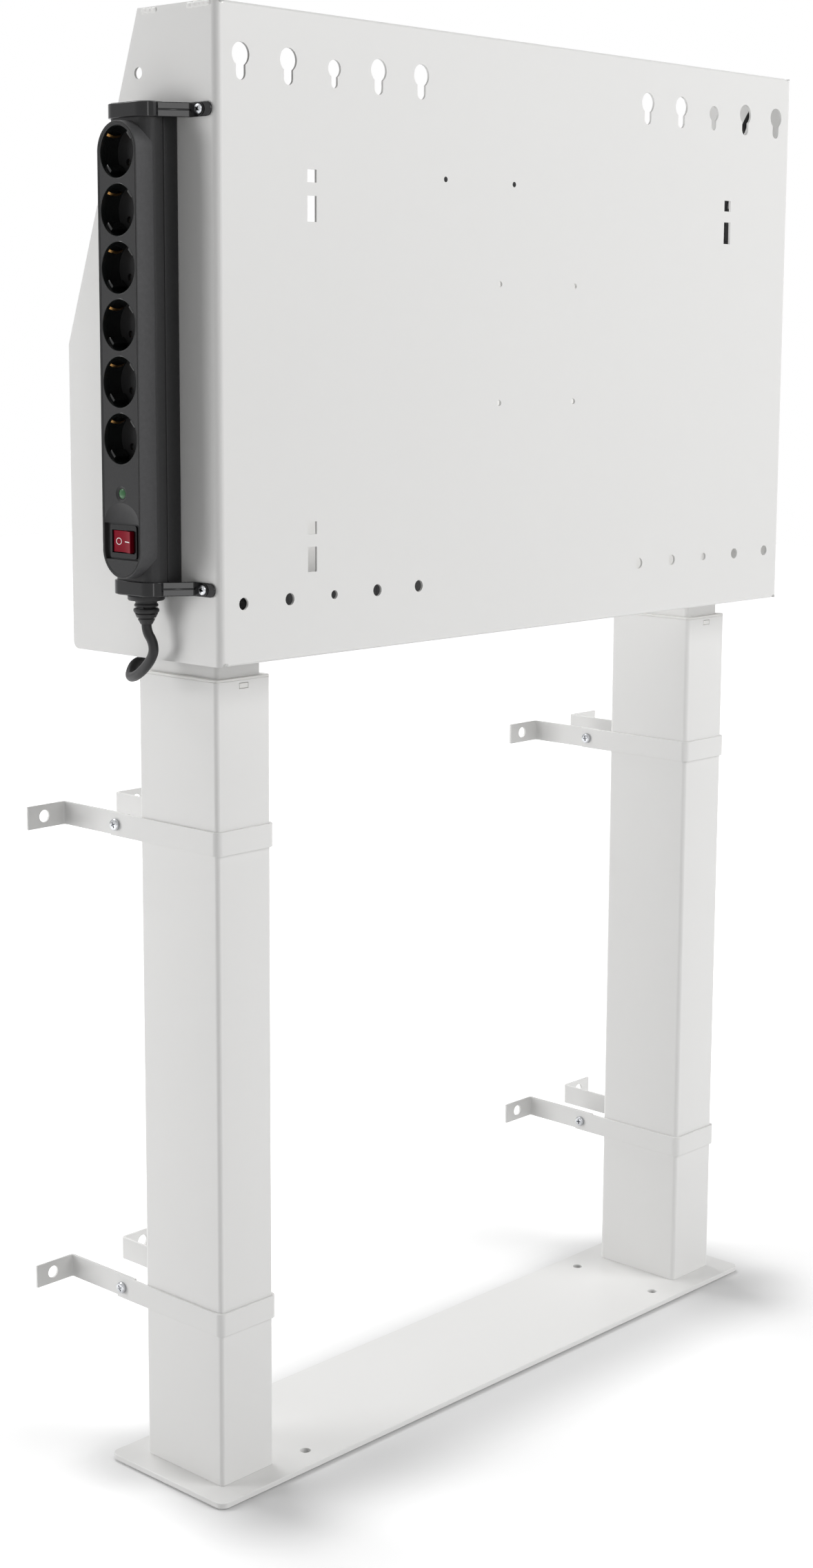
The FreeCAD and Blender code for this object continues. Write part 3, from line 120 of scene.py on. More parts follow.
# Camera
def photo_camera():
    """Camera at the photograph's viewing angle."""
    data = bpy.data.cameras.new("photo_camera")
    data.sensor_width = SENSOR
    data.lens = LENS_PIXELS / PHOTO_HEIGHT * SENSOR
    data.shift_y = (CENTRE_ROW - PHOTO_HEIGHT / 2) / PHOTO_HEIGHT
    data.clip_start = 0.05
    data.clip_end = 60
    forward = CAMERA_VIEW.normalized()
    level = CAMERA_LEVEL.normalized()
    above = level.cross(forward)
    right = level * math.cos(CAMERA_ROLL) + above * math.sin(CAMERA_ROLL)
    up = above * math.cos(CAMERA_ROLL) - level * math.sin(CAMERA_ROLL)
    camera = placed("photo_camera", data)
    turn = Matrix((right, up, -forward)).transposed()
    camera.matrix_world = Matrix.Translation(CAMERA_PLACE) @ turn.to_4x4()
    bpy.context.scene.camera = camera


photo_camera()


# Cord
CORD_DIAMETER = 8
CORD_POINTS = [
    (-392, -21, 735), (-392, -21, 729.5), (-389.6, -26, 721), (-388, -24.5, 710.5), (-385.3, -10, 698),
    (-381.5, 6, 689.8), (-376, 19.5, 688), (-368.5, 22.5, 698), (-358.8, 19.5, 700.5), (-355, 13, 714),
    (-354, -3, 728), (-354, -24, 737), (-353.5, -31, 740), (-352, -49, 746), (-341, -61, 748),
    (-325, -61, 748)]


def cord_curve(name, points, diameter):
    """A round cord along one smooth open spline."""
    data = bpy.data.curves.new(name, "CURVE")
    data.dimensions = "3D"
    data.bevel_depth = diameter / 2 * MM
    data.bevel_resolution = 6
    data.resolution_u = 10
    line = data.splines.new("NURBS")
    line.points.add(len(points) - 1)
    for point, spot in zip(line.points, points):
        point.co = (spot[0] * MM, spot[1] * MM, spot[2] * MM, 1)
    line.order_u = 3
    line.use_endpoint_u = True
    return placed(name, data)


strip_flex = cord_curve("strip_flex", CORD_POINTS, CORD_DIAMETER)


# Effects shared by the finishes
def effect(name, inputs, outputs):
    """An empty node group with its named inputs and outputs."""
    group = bpy.data.node_groups.new(name, "ShaderNodeTree")
    for label, kind, value in inputs:
        socket = group.interface.new_socket(label, in_out="INPUT", socket_type=kind)
        socket.default_value = value
    for label, kind in outputs:
        group.interface.new_socket(label, in_out="OUTPUT", socket_type=kind)
    return group, group.nodes.new("NodeGroupInput"), group.nodes.new("NodeGroupOutput")


def add(tree, kind, **values):
    """A new node with its settings."""
    node = tree.nodes.new(kind)
    for key, value in values.items():
        setattr(node, key, value)
    return node


def stretched_noise(tree, start, scale_socket, detail, squash=(1, 1, 1)):
    """Noise on object coordinates, squashed along an axis where lines should run along it."""
    where = add(tree, "ShaderNodeTexCoord")
    fit = add(tree, "ShaderNodeMapping")
    fit.inputs["Scale"].default_value = squash
    noise = add(tree, "ShaderNodeTexNoise")
    noise.inputs["Detail"].default_value = detail
    tree.links.new(where.outputs["Object"], fit.inputs["Vector"])
    tree.links.new(fit.outputs["Vector"], noise.inputs["Vector"])
    tree.links.new(start.outputs[scale_socket], noise.inputs["Scale"])
    return noise


def grain_effect(name, squash, fine):
    """Height of a finish: a main noise and a finer one on top of it."""
    group, start, end = effect(name, [("Scale", "NodeSocketFloat", 800.0)], [("Height", "NodeSocketFloat")])
    main = stretched_noise(group, start, "Scale", 2, squash)
    where = add(group, "ShaderNodeTexCoord")
    small = add(group, "ShaderNodeTexNoise")
    small.inputs["Scale"].default_value = fine
    small.inputs["Detail"].default_value = 1
    group.links.new(where.outputs["Object"], small.inputs["Vector"])
    mix = add(group, "ShaderNodeMath", operation="MULTIPLY_ADD")
    mix.inputs[1].default_value = 0.25
    group.links.new(small.outputs["Fac"], mix.inputs[0])
    group.links.new(main.outputs["Fac"], mix.inputs[2])
    group.links.new(mix.outputs[0], end.inputs["Height"])
    return group


def tone_effect():
    """A colour that drifts lighter and darker in soft patches."""
    group, start, end = effect(
        "tone_drift",
        [("Color", "NodeSocketColor", (0.8, 0.8, 0.8, 1)), ("Amount", "NodeSocketFloat", 0.05),
         ("Scale", "NodeSocketFloat", 6.0)],
        [("Color", "NodeSocketColor")])
    noise = stretched_noise(group, start, "Scale", 4)
    spread = add(group, "ShaderNodeMath", operation="SUBTRACT")
    spread.inputs[1].default_value = 0.5
    group.links.new(noise.outputs["Fac"], spread.inputs[0])
    gain = add(group, "ShaderNodeMath", operation="MULTIPLY_ADD")
    gain.inputs[2].default_value = 1.0
    group.links.new(spread.outputs[0], gain.inputs[0])
    group.links.new(start.outputs["Amount"], gain.inputs[1])
    shade = add(group, "ShaderNodeVectorMath", operation="SCALE")
    group.links.new(start.outputs["Color"], shade.inputs[0])
    group.links.new(gain.outputs[0], shade.inputs["Scale"])
    group.links.new(shade.outputs["Vector"], end.inputs["Color"])
    return group


def polish_effect():
    """A roughness that drifts, as where a surface was wiped or handled."""
    group, start, end = effect(
        "polish_drift",
        [("Roughness", "NodeSocketFloat", 0.4), ("Amount", "NodeSocketFloat", 0.1),
         ("Scale", "NodeSocketFloat", 20.0)],
        [("Roughness", "NodeSocketFloat")])
    noise = stretched_noise(group, start, "Scale", 5)
    spread = add(group, "ShaderNodeMath", operation="SUBTRACT")
    spread.inputs[1].default_value = 0.5
    group.links.new(noise.outputs["Fac"], spread.inputs[0])
    total = add(group, "ShaderNodeMath", operation="MULTIPLY_ADD")
    total.use_clamp = True
    group.links.new(spread.outputs[0], total.inputs[0])
    group.links.new(start.outputs["Amount"], total.inputs[1])
    group.links.new(start.outputs["Roughness"], total.inputs[2])
    group.links.new(total.outputs[0], end.inputs["Roughness"])
    return group


GRAINS = {
    "even": grain_effect("even_grain", (1, 1, 1), 3000),
    "drawn": grain_effect("drawn_lines", (1, 1, 0.02), 2500),
    "turned": grain_effect("turned_lines", (0.05, 0.05, 1), 2500),
}
TONE = tone_effect()
POLISH = polish_effect()


def use(tree, group, **values):
    """A shared effect placed in a material with the material's own values."""
    node = add(tree, "ShaderNodeGroup", node_tree=group)
    for key, value in values.items():
        node.inputs[key].default_value = value
    return node


def finish(name, color, roughness, metallic=0.0, grain="even", scale=800.0, depth=0.02, tone=0.05,
           tone_scale=6.0, polish=0.1, polish_scale=20.0, **sockets):
    """One finish of the stand: drifting colour, drifting gloss and a grain, with its own values."""
    material = bpy.data.materials.new(name)
    material.use_nodes = True
    tree = material.node_tree
    shader = tree.nodes["Principled BSDF"]
    shader.inputs["Metallic"].default_value = metallic
    for key, value in sockets.items():
        shader.inputs[key.replace("_", " ")].default_value = value
    drift = use(tree, TONE, Color=(*color, 1), Amount=tone, Scale=tone_scale)
    gloss = use(tree, POLISH, Roughness=roughness, Amount=polish, Scale=polish_scale)
    texture = use(tree, GRAINS[grain], Scale=scale)
    bump = add(tree, "ShaderNodeBump")
    bump.inputs["Strength"].default_value = 1.0
    bump.inputs["Distance"].default_value = depth * MM
    tree.links.new(drift.outputs["Color"], shader.inputs["Base Color"])
    tree.links.new(gloss.outputs["Roughness"], shader.inputs["Roughness"])
    tree.links.new(texture.outputs["Height"], bump.inputs["Height"])
    tree.links.new(bump.outputs["Normal"], shader.inputs["Normal"])
    return material


FINISH = {
    "white_powder_coat": finish("white_powder_coat", (0.765, 0.762, 0.752), 0.34, scale=1100, depth=0.016,
                                tone=0.02, tone_scale=4, polish=0.08, polish_scale=60,
                                Specular_IOR_Level=0.38),
    "weld_coat": finish("weld_coat", (0.79, 0.785, 0.77), 0.16, scale=700, depth=0.05, tone=0.06,
                        tone_scale=150, polish=0.15, polish_scale=200),
    "zinc": finish("zinc", (0.5, 0.51, 0.53), 0.2, metallic=1.0, scale=1500, depth=0.008, tone=0.25,
                   tone_scale=300, polish=0.2, polish_scale=400),
    "bare_steel": finish("bare_steel", (0.42, 0.42, 0.43), 0.34, metallic=1.0, grain="drawn", scale=1200,
                         depth=0.01, tone=0.2, tone_scale=30, polish=0.2, polish_scale=60),
    "bronze": finish("bronze", (0.55, 0.33, 0.13), 0.3, metallic=1.0, grain="turned", scale=1500, depth=0.01,
                     tone=0.2, tone_scale=60),
    "brass": finish("brass", (0.36, 0.2, 0.07), 0.34, metallic=1.0, scale=1200, depth=0.006, tone=0.25,
                    tone_scale=120, polish=0.25, polish_scale=200),
    "glide_plastic": finish("glide_plastic", (0.76, 0.755, 0.735), 0.48, scale=900, depth=0.01, tone=0.03),
    "gear_housing": finish("gear_housing", (0.03, 0.03, 0.032), 0.5, scale=500, depth=0.08, tone=0.3,
                           tone_scale=40, polish=0.2, polish_scale=50),
    "black_plastic": finish("black_plastic", (0.036, 0.036, 0.037), 0.42, scale=2200, depth=0.045, tone=0.25,
                            tone_scale=500, polish=0.12, polish_scale=60, Specular_IOR_Level=0.18),
    "band_plastic": finish("band_plastic", (0.056, 0.056, 0.058), 0.5, scale=1300, depth=0.06, tone=0.35,
                           tone_scale=300, polish=0.2, polish_scale=60, Specular_IOR_Level=0.25),
    "well_gloss": finish("well_gloss", (0.008, 0.009, 0.009), 0.2, scale=500, depth=0.006, tone=0.2,
                         tone_scale=60, polish=0.1, polish_scale=80, Specular_IOR_Level=0.45),
    "black_gloss": finish("black_gloss", (0.007, 0.007, 0.008), 0.12, scale=300, depth=0.01, tone=0.2,
                          tone_scale=60, polish=0.08, polish_scale=50, Specular_IOR_Level=0.36),
    "black_steel": finish("black_steel", (0.018, 0.018, 0.019), 0.42, metallic=0.3, scale=1500, depth=0.01,
                          tone=0.3, tone_scale=200),
    "rubber": finish("rubber", (0.013, 0.013, 0.014), 0.42, scale=1500, depth=0.02, tone=0.15, tone_scale=100,
                     polish=0.15, polish_scale=100, Specular_IOR_Level=0.3),
    "red_clear": finish("red_clear", (0.21, 0.001, 0.012), 0.24, scale=500, depth=0.008, tone=0.2,
                        tone_scale=150, polish=0.1, polish_scale=150, Specular_IOR_Level=0.05,
                        Coat_Weight=0.06),
    "green_lens": finish("green_lens", (0.012, 0.09, 0.022), 0.2, scale=900, depth=0.03, tone=0.8,
                         tone_scale=700, Emission_Color=(0.02, 0.3, 0.06, 1), Emission_Strength=0.05),
    "legend_white": finish("legend_white", (0.8, 0.79, 0.78), 0.5, scale=2000, depth=0.01, tone=0.05),
    # Near-black for the pin shutters, and painted groove shade round the strip's face.
    "pin_dark_and_groove_shade": finish("pin_dark_and_groove_shade", (0.01, 0.01, 0.01), 0.6, scale=1500, depth=0.02, tone=0.2),
}


# Making meshes
def only_verts(geometry):
    """The points among what a mesh operation gives back."""
    return [part for part in geometry if isinstance(part, bmesh.types.BMVert)]


def only_edges(geometry):
    """The edges among what a mesh operation gives back."""
    return [part for part in geometry if isinstance(part, bmesh.types.BMEdge)]


def edges_of(verts):
    """The edges at the given points, each once and in the same order at every run."""
    return list(dict.fromkeys(edge for vert in verts for edge in vert.link_edges))


def finished(bm, name, finish_name, body, sharp=35, normals=True):
    """Turn a bmesh drawn in millimetres into a piece that rides on a body."""
    if normals:
        bmesh.ops.remove_doubles(bm, verts=bm.verts, dist=0.001)
        bmesh.ops.recalc_face_normals(bm, faces=bm.faces)
    bmesh.ops.scale(bm, verts=bm.verts, vec=(MM, MM, MM))
    return metre_piece(bm, name, finish_name, body, sharp)


def metre_piece(bm, name, finish_name, body, sharp, bevel=0, segments=2, clamp=True):
    """Turn a bmesh drawn in metres into a piece, smooth up to a sharp angle and with rounded edges."""
    limit = math.radians(sharp)
    for face in bm.faces:
        face.smooth = True
    for edge in bm.edges:
        edge.smooth = edge.is_manifold and edge.calc_face_angle(0) < limit
    mesh = bpy.data.meshes.new(name)
    bm.to_mesh(mesh)
    bm.free()
    spare = mesh.attributes.get("custom_normal")
    if spare:
        mesh.attributes.remove(spare)
    mesh.materials.clear()
    mesh.materials.append(FINISH[finish_name])
    thing = placed(name, mesh)
    if bevel:
        round_edges = thing.modifiers.new("round_edges", "BEVEL")
        round_edges.width = bevel * MM
        round_edges.segments = segments
        round_edges.limit_method = "ANGLE"
        round_edges.angle_limit = ROUNDED_FROM
        round_edges.harden_normals = True
        round_edges.use_clamp_overlap = clamp
    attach(thing, body)
    return thing


def welded(node):
    """A copy of a CAD node's mesh whose loose triangles are joined."""
    bm = bmesh.new()
    bm.from_mesh(nodes[node].data)
    bmesh.ops.remove_doubles(bm, verts=bm.verts, dist=WELD_GAP)
    return bm


def merge_flat_faces(bm):
    """Joins the triangles of each flat face, and gives the piece one finish."""
    bmesh.ops.dissolve_limit(bm, angle_limit=NEARLY_FLAT, verts=bm.verts, edges=bm.edges)
    for face in bm.faces:
        face.material_index = 0


def rounded(node, bevel, segments=2, finish_name=None, clamp=True):
    """A welded copy of a CAD node with rounded edges, which stands for it."""
    bm = welded(node)
    merge_flat_faces(bm)
    finish_name = finish_name or NODE_SLOT[node]
    thing = metre_piece(bm, node + "_body", finish_name, NODE_BODY[node], 30, bevel, segments, clamp)
    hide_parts(node)


def face_hollows():
    """What the cover's face is hollowed by: the thumb scoop above the switch and the pilot light's dish."""
    bm = bmesh.new()
    scoop = bmesh.ops.create_uvsphere(bm, u_segments=56, v_segments=32, radius=1)["verts"]
    bmesh.ops.scale(bm, verts=scoop, vec=(5 * MM, 22.1 * MM, 17.46 * MM))
    bmesh.ops.translate(bm, verts=scoop, vec=((STRIP_FACE - 2) * MM, STRIP_Y * MM, RECESS_TOP * MM))
    cut = bmesh.ops.bisect_plane(bm, geom=bm.verts[:] + bm.edges[:] + bm.faces[:], dist=0,
                                 plane_co=(0, 0, (RECESS_TOP - 0.1) * MM), plane_no=(0, 0, -1),
                                 clear_outer=True)
    bmesh.ops.contextual_create(bm, geom=only_edges(cut["geom_cut"]))
    dish = bmesh.ops.create_uvsphere(bm, u_segments=40, v_segments=20, radius=1)["verts"]
    bmesh.ops.scale(bm, verts=dish, vec=(2.6 * MM, 6.7 * MM, 6.7 * MM))
    bmesh.ops.translate(bm, verts=dish, vec=((STRIP_FACE - 1) * MM, STRIP_Y * MM, PILOT_Z * MM))
    bmesh.ops.recalc_face_normals(bm, faces=bm.faces)
    return bm


def in_fixed_order(bm, name):
    """A mesh whose points and faces are listed in the same order at every run, so a cut repeats exactly."""
    spots = sorted(tuple(vert.co) for vert in bm.verts)
    number = {spot: count for count, spot in enumerate(spots)}
    faces = []
    for face in bm.faces:
        ring = [number[tuple(vert.co)] for vert in face.verts]
        first = ring.index(min(ring))
        faces.append(ring[first:] + ring[:first])
    bm.free()
    mesh = bpy.data.meshes.new(name)
    mesh.from_pydata(spots, [], sorted(faces))
    return mesh


def carved_cover():
    """The strip's cover: a copy of its CAD node, hollowed, with rounded edges."""
    bm = welded("strip_cover")
    blank = bpy.data.meshes.new("cover_blank")
    bm.to_mesh(blank)
    bm.free()
    cover = placed("cover_blank", blank)
    cutter = placed("cover_cutter", in_fixed_order(face_hollows(), "cover_cutter"))
    cut = cover.modifiers.new("hollows", "BOOLEAN")
    cut.operation = "DIFFERENCE"
    cut.solver = "EXACT"
    cut.object = cutter
    graph = bpy.context.evaluated_depsgraph_get()
    result = bpy.data.meshes.new_from_object(cover.evaluated_get(graph))
    for each in (cover, cutter):
        bpy.data.objects.remove(each)
    bm = bmesh.new()
    bm.from_mesh(result)
    merge_flat_faces(bm)
    thing = metre_piece(bm, "strip_cover_body", "black_plastic", "lift", 25, 0.45, 3)
    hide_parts("strip_cover")


def turn_to(way):
    """Rotation that takes +Z to the given way."""
    return Vector((0, 0, 1)).rotation_difference(Vector(way)).to_matrix().to_4x4()


def moved(spot, way, spin=0):
    """Place of a copy: its spot, the way that its +Z points, and its turn about that way in degrees."""
    return Matrix.Translation(spot) @ turn_to(way) @ Matrix.Rotation(math.radians(spin), 4, "Z")


def copies(mesh, places):
    """One bmesh with a copy of the mesh at each place."""
    bm = bmesh.new()
    for place in places:
        begin = len(bm.verts)
        bm.from_mesh(mesh)
        bm.verts.ensure_lookup_table()
        bmesh.ops.transform(bm, matrix=place, verts=bm.verts[begin:])
    return bm


def lathe(profile, steps=32):
    """Spin a profile of (radius, height) about +Z."""
    bm = bmesh.new()
    line = [bm.verts.new((radius, 0, height)) for radius, height in profile]
    edges = [bm.edges.new(pair) for pair in zip(line, line[1:])]
    bmesh.ops.spin(bm, geom=line + edges, cent=(0, 0, 0), axis=(0, 0, 1), dvec=(0, 0, 0),
                   angle=math.tau, steps=steps, use_merge=True, use_duplicate=False)
    bmesh.ops.remove_doubles(bm, verts=bm.verts, dist=0.0005)
    return bm


def to_mesh(bm, name):
    """A mesh of the bmesh, with its faces pointing outwards."""
    bmesh.ops.recalc_face_normals(bm, faces=bm.faces)
    mesh = bpy.data.meshes.new(name)
    bm.to_mesh(mesh)
    bm.free()
    return mesh


def boxed(bm, low, high, bevel=0.0, segments=2):
    """A rounded block between two corners, added to the bmesh."""
    fresh = bmesh.ops.create_cube(bm, size=1)["verts"]
    size = [h - l for l, h in zip(low, high)]
    middle = [(h + l) / 2 for l, h in zip(low, high)]
    bmesh.ops.scale(bm, verts=fresh, vec=size)
    bmesh.ops.translate(bm, verts=fresh, vec=middle)
    if bevel:
        bmesh.ops.bevel(bm, geom=edges_of(fresh), offset=bevel, affect="EDGES", segments=segments,
                        profile=0.5, material=-1)


# Screws
def cross_head(name, head_dia, head_height, shank_dia, shank_length, sunk=False):
    """A screw along +Z from under its head, with a cross recess. A sunk one has a flat head."""
    r = head_dia / 2
    arm = head_dia * (0.34 if sunk else 0.27)
    half = head_dia * 0.062
    top = -0.02 if sunk else -head_height
    bm = bmesh.new()
    cross = []
    for c, s in ((1, 0), (0, 1), (-1, 0), (0, -1)):
        for x, y in ((arm, -half), (arm, half), (half, half)):
            cross.append(bm.verts.new((x * c - y * s, x * s + y * c, top)))
    mouth = bm.faces.new(cross)
    bmesh.ops.subdivide_edges(bm, edges=list(mouth.edges), cuts=1)
    ring = bmesh.ops.create_circle(bm, segments=24, radius=r * (0.86 if sunk else 0.72), cap_ends=False,
                                   matrix=Matrix.Translation((0, 0, top)))
    edge = edges_of(ring["verts"])
    bmesh.ops.bridge_loops(bm, edges=list(mouth.edges) + edge)
    sink = bmesh.ops.extrude_face_region(bm, geom=[mouth])
    low = only_verts(sink["geom"])
    bmesh.ops.delete(bm, geom=[mouth], context="FACES_ONLY")
    bmesh.ops.translate(bm, verts=low, vec=(0, 0, head_height * (0.55 if sunk else 0.7)))
    bmesh.ops.scale(bm, verts=low, vec=(0.6, 0.6, 1))
    if sunk:
        rings = [(r * 0.97, top), (r, 0.06), (shank_dia / 2, head_height)]
    else:
        rings = [(r * 0.9, -head_height * 0.86), (r * 0.99, -head_height * 0.58), (r, -head_height * 0.35),
                 (r * 0.985, 0), (shank_dia / 2, 0)]
    rings.append((shank_dia / 2, shank_length - shank_dia * 0.15))
    rings.append((shank_dia * 0.38, shank_length))
    for radius, height in rings:
        step = bmesh.ops.extrude_edge_only(bm, edges=edge)
        fresh = only_verts(step["geom"])
        edge = only_edges(step["geom"])
        now = math.hypot(fresh[0].co.x, fresh[0].co.y)
        bmesh.ops.scale(bm, verts=fresh, vec=(radius / now, radius / now, 1))
        bmesh.ops.translate(bm, verts=fresh, vec=(0, 0, height - fresh[0].co.z))
    bmesh.ops.contextual_create(bm, geom=edge)
    return to_mesh(bm, name)


def screw_set(node, name, screw, places, finish_name, body):
    """All copies of one screw, which stand for their CAD node."""
    thing = finished(copies(screw, places), name, finish_name, body, normals=False)
    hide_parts(node)


def screws():
    """Every screw that shows or that holds a part which shows."""
    screw = cross_head("bracket_screw", 10, 3.4, 5, 10)
    places = [moved((COLUMN_X * sign + BRACKET_SCREW_X * hand, BRACKET_SCREW_Y, z), (-hand, 0, 0),
                    17 * hand + 9 * sign)
              for _, sign in SIDES for _, z in LEVELS for hand in (-1, 1)]
    screw_set("bracket_screws", "bracket_screw_set", screw, places, "zinc", "stand")
    screw = cross_head("column_screw", 10, 3.5, 6, 12.5)
    places = [moved((COLUMN_X * sign + 10 * across, -46, z), (0, 1, 0), 30 * across + z)
              for _, sign in SIDES for across in (-1, 1) for z in COLUMN_SCREW_HEIGHTS]
    screw_set("column_screws", "column_screw_set", screw, places, "zinc", "lift")
    screw = cross_head("saddle_screw", 8, 2.6, 4, 6)
    places = [moved((SADDLE_SCREW_X, SADDLE_SCREW_Y, z), (1, 0, 0), spin)
              for z, spin in zip(SADDLE_HEIGHTS, (12, 35))]
    screw_set("saddle_screws", "saddle_screw_set", screw, places, "zinc", "lift")
    screw = cross_head("control_screw", 4.6, 1.2, 2.5, 10, sunk=True)
    places = [moved((x, PLATE_FRONT, CONTROL_SCREW_Z), (0, 1, 0), 20 + x) for x in CONTROL_SCREW_XS]
    screw_set("control_box_screws", "control_screw_set", screw, places, "black_steel", "lift")
    screw = cross_head("base_screw", 12, 3, 6, 15, sunk=True)
    places = [moved((COLUMN_X * sign + 18 * across, 33 * along, 0), (0, 0, 1), 25 * across + 40 * along)
              for _, sign in SIDES for across in (-1, 1) for along in (-1, 1)]
    screw_set("base_screws", "base_screw_set", screw, places, "zinc", "stand")


# Socket strip
def strain_relief():
    """Flange, two flexing ribs with slits between them and a taper down to the cord."""
    profile = [
        (0, 763), (8.9, 763), (8.9, 758.5), (13.6, 758.5), (14.5, 757.8), (14.5, 755.2), (13.8, 754.3),
        (9.2, 754.1), (8.4, 752.2), (8.6, 751.6), (9.3, 751.1), (9.5, 749.9), (9.0, 749.2), (7.4, 749.0),
        (7.3, 748.2), (9.1, 748.0), (10.1, 747.2), (10.2, 745.9), (9.4, 744.4), (7.2, 744.2), (7.1, 743.4),
        (8.7, 743.2), (7.6, 740.6), (6.0, 740.3), (5.9, 739.6), (6.9, 739.4), (5.2, 736.2), (4.6, 735.2),
        (3.9, 735.1), (0, 735.1)]
    bm = lathe(profile, 40)
    bmesh.ops.translate(bm, verts=bm.verts, vec=(STRIP_AXIS_X, STRIP_Y, 0))
    thing = finished(bm, "strain_relief_ribbed", "black_plastic", "lift", sharp=50)
    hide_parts("strain_relief")
    bm = bmesh.new()
    for height, spin in ((748.6, 20), (743.8, 110), (748.6, 200), (743.8, 290)):
        fresh = bmesh.ops.create_cube(bm, size=1)["verts"]
        bmesh.ops.transform(bm, verts=fresh, matrix=(
            Matrix.Translation((STRIP_AXIS_X, STRIP_Y, height)) @ Matrix.Rotation(math.radians(spin), 4, "Z")
            @ Matrix.Translation((7.9, 0, 0)) @ Matrix.Diagonal((2.2, 4.5, 1.0, 1))))
    finished(bm, "strain_relief_webs", "black_plastic", "lift")


def rocker_frame():
    """The rocker's own frame at rest: its pivot and its ten degree tilt."""
    return Matrix.Translation(ROCKER_PIVOT) @ Matrix.Rotation(math.radians(ROCKER_REST_TILT), 4, "Z")


def rocker_marks():
    """The generic off ring and on bar, printed on the two halves of the key."""
    slope = math.atan2(2.3, 12.3)
    face = Matrix.Rotation(math.radians(90), 4, "Y")
    bm = bmesh.new()
    outer = bmesh.ops.create_circle(bm, segments=40, radius=1, cap_ends=False)["verts"]
    inner = bmesh.ops.create_circle(bm, segments=40, radius=1, cap_ends=False)["verts"]
    bmesh.ops.scale(bm, verts=outer, vec=(2.75, 3.3, 1))
    bmesh.ops.scale(bm, verts=inner, vec=(2.15, 2.7, 1))
    bmesh.ops.bridge_loops(bm, edges=bm.edges[:])
    up = bmesh.ops.extrude_face_region(bm, geom=bm.faces[:])
    bmesh.ops.translate(bm, verts=only_verts(up["geom"]), vec=(0, 0, -0.06))
    spot = (rocker_frame() @ Matrix.Translation((MARK_OUT, MARK_SIDE, 0))
            @ Matrix.Rotation(slope, 4, "Z") @ face)
    bmesh.ops.transform(bm, verts=bm.verts, matrix=spot)
    finished(bm, "off_ring", "legend_white", "rocker")
    bm = bmesh.new()
    bmesh.ops.create_cube(bm, size=1)
    bmesh.ops.scale(bm, verts=bm.verts, vec=(0.8, 9.6, 0.12))
    bmesh.ops.bevel(bm, geom=bm.edges[:], offset=0.05, affect="EDGES", segments=1, profile=0.5, material=-1)
    spot = (rocker_frame() @ Matrix.Translation((MARK_OUT, -MARK_SIDE, 0))
            @ Matrix.Rotation(-slope, 4, "Z") @ face)
    bmesh.ops.transform(bm, verts=bm.verts, matrix=spot)
    finished(bm, "on_bar", "legend_white", "rocker")


def pilot_light():
    """Domed lens in a moulded bezel ring."""
    seat = moved((STRIP_FACE, STRIP_Y, PILOT_Z), (-1, 0, 0))
    dome = lathe([(0, -0.15), (1.6, -0.25), (2.9, -0.55), (3.7, -0.95), (4.1, -1.5), (4.1, -1.75),
                  (2.95, -1.75), (2.95, -2.2), (4.4, -2.2), (4.4, -3.7), (0, -3.7)], 32)
    bmesh.ops.transform(dome, verts=dome.verts, matrix=seat)
    thing = finished(dome, "pilot_lens", "green_lens", "lift")
    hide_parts("pilot_light")
    ring = lathe([(4.15, -1.1), (4.3, -0.85), (4.7, -0.8), (5.1, -1.05), (5.2, -1.5), (4.15, -1.6),
                  (4.15, -1.1)], 32)
    bmesh.ops.transform(ring, verts=ring.verts, matrix=seat)
    finished(ring, "pilot_bezel", "black_gloss", "lift")


FACE_TURN = Matrix(((0, 0, -1, STRIP_FACE), (0, 1, 0, STRIP_Y), (1, 0, 0, FACE_MIDDLE), (0, 0, 0, 1)))


def long_ring(profile, steps=64):
    """A closed section swept round the strip's long face: a lathe whose two halves are drawn apart."""
    bm = lathe(profile, steps)
    bmesh.ops.rotate(bm, verts=bm.verts, cent=(0, 0, 0), matrix=Matrix.Rotation(math.pi / steps, 3, "Z"))
    for hand in (-1, 1):
        half_ring = [v for v in bm.verts if v.co.x * hand > 0]
        bmesh.ops.translate(bm, verts=half_ring, vec=(FACE_HALF_RUN * hand, 0, 0))
    bmesh.ops.transform(bm, verts=bm.verts, matrix=FACE_TURN)
    return bm


def face_trim():
    """Bead round the strip's face, a near-black ring outside it that paints the shade of a groove, and the
    textured wall below.
    """
    bead = [(20.2, -0.1), (20.3, 0.16), (20.6, 0.32), (20.85, 0.28), (21.0, 0.02), (21.0, -0.1),
            (20.2, -0.1)]
    finished(long_ring(bead), "face_bead", "black_plastic", "lift", sharp=50)
    # A flat near-black ring at the face's edge: painted shade in place of a groove.
    joint = [(21.0, -0.2), (21.0, 0.03), (22.0, 0.01), (22.0, -0.2), (21.0, -0.2)]
    finished(long_ring(joint), "face_groove_shade", "pin_dark_and_groove_shade", "lift", sharp=50)
    wall = [(21.7, -0.9), (21.95, 0.12), (22.2, 0.25), (22.5, 0.05), (22.6, -0.5), (23.35, -15.2),
            (23.3, -15.9), (22.95, -16.3), (22.2, -16.4), (21.7, -0.9)]
    finished(long_ring(wall), "side_band", "band_plastic", "lift", sharp=40)


def strip_back():
    """Back half of the strip, with a step that leaves a fine joint under the cover."""
    bm = bmesh.new()
    boxed(bm, (-389.1, -44, 758.5), (-375, 2, 1132), 0.9, 3)
    boxed(bm, (-390.4, -43.1, 759.4), (-388.9, 1.1, 1131.1))
    thing = finished(bm, "strip_back", "black_plastic", "lift", sharp=40)
    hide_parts("strip_base")


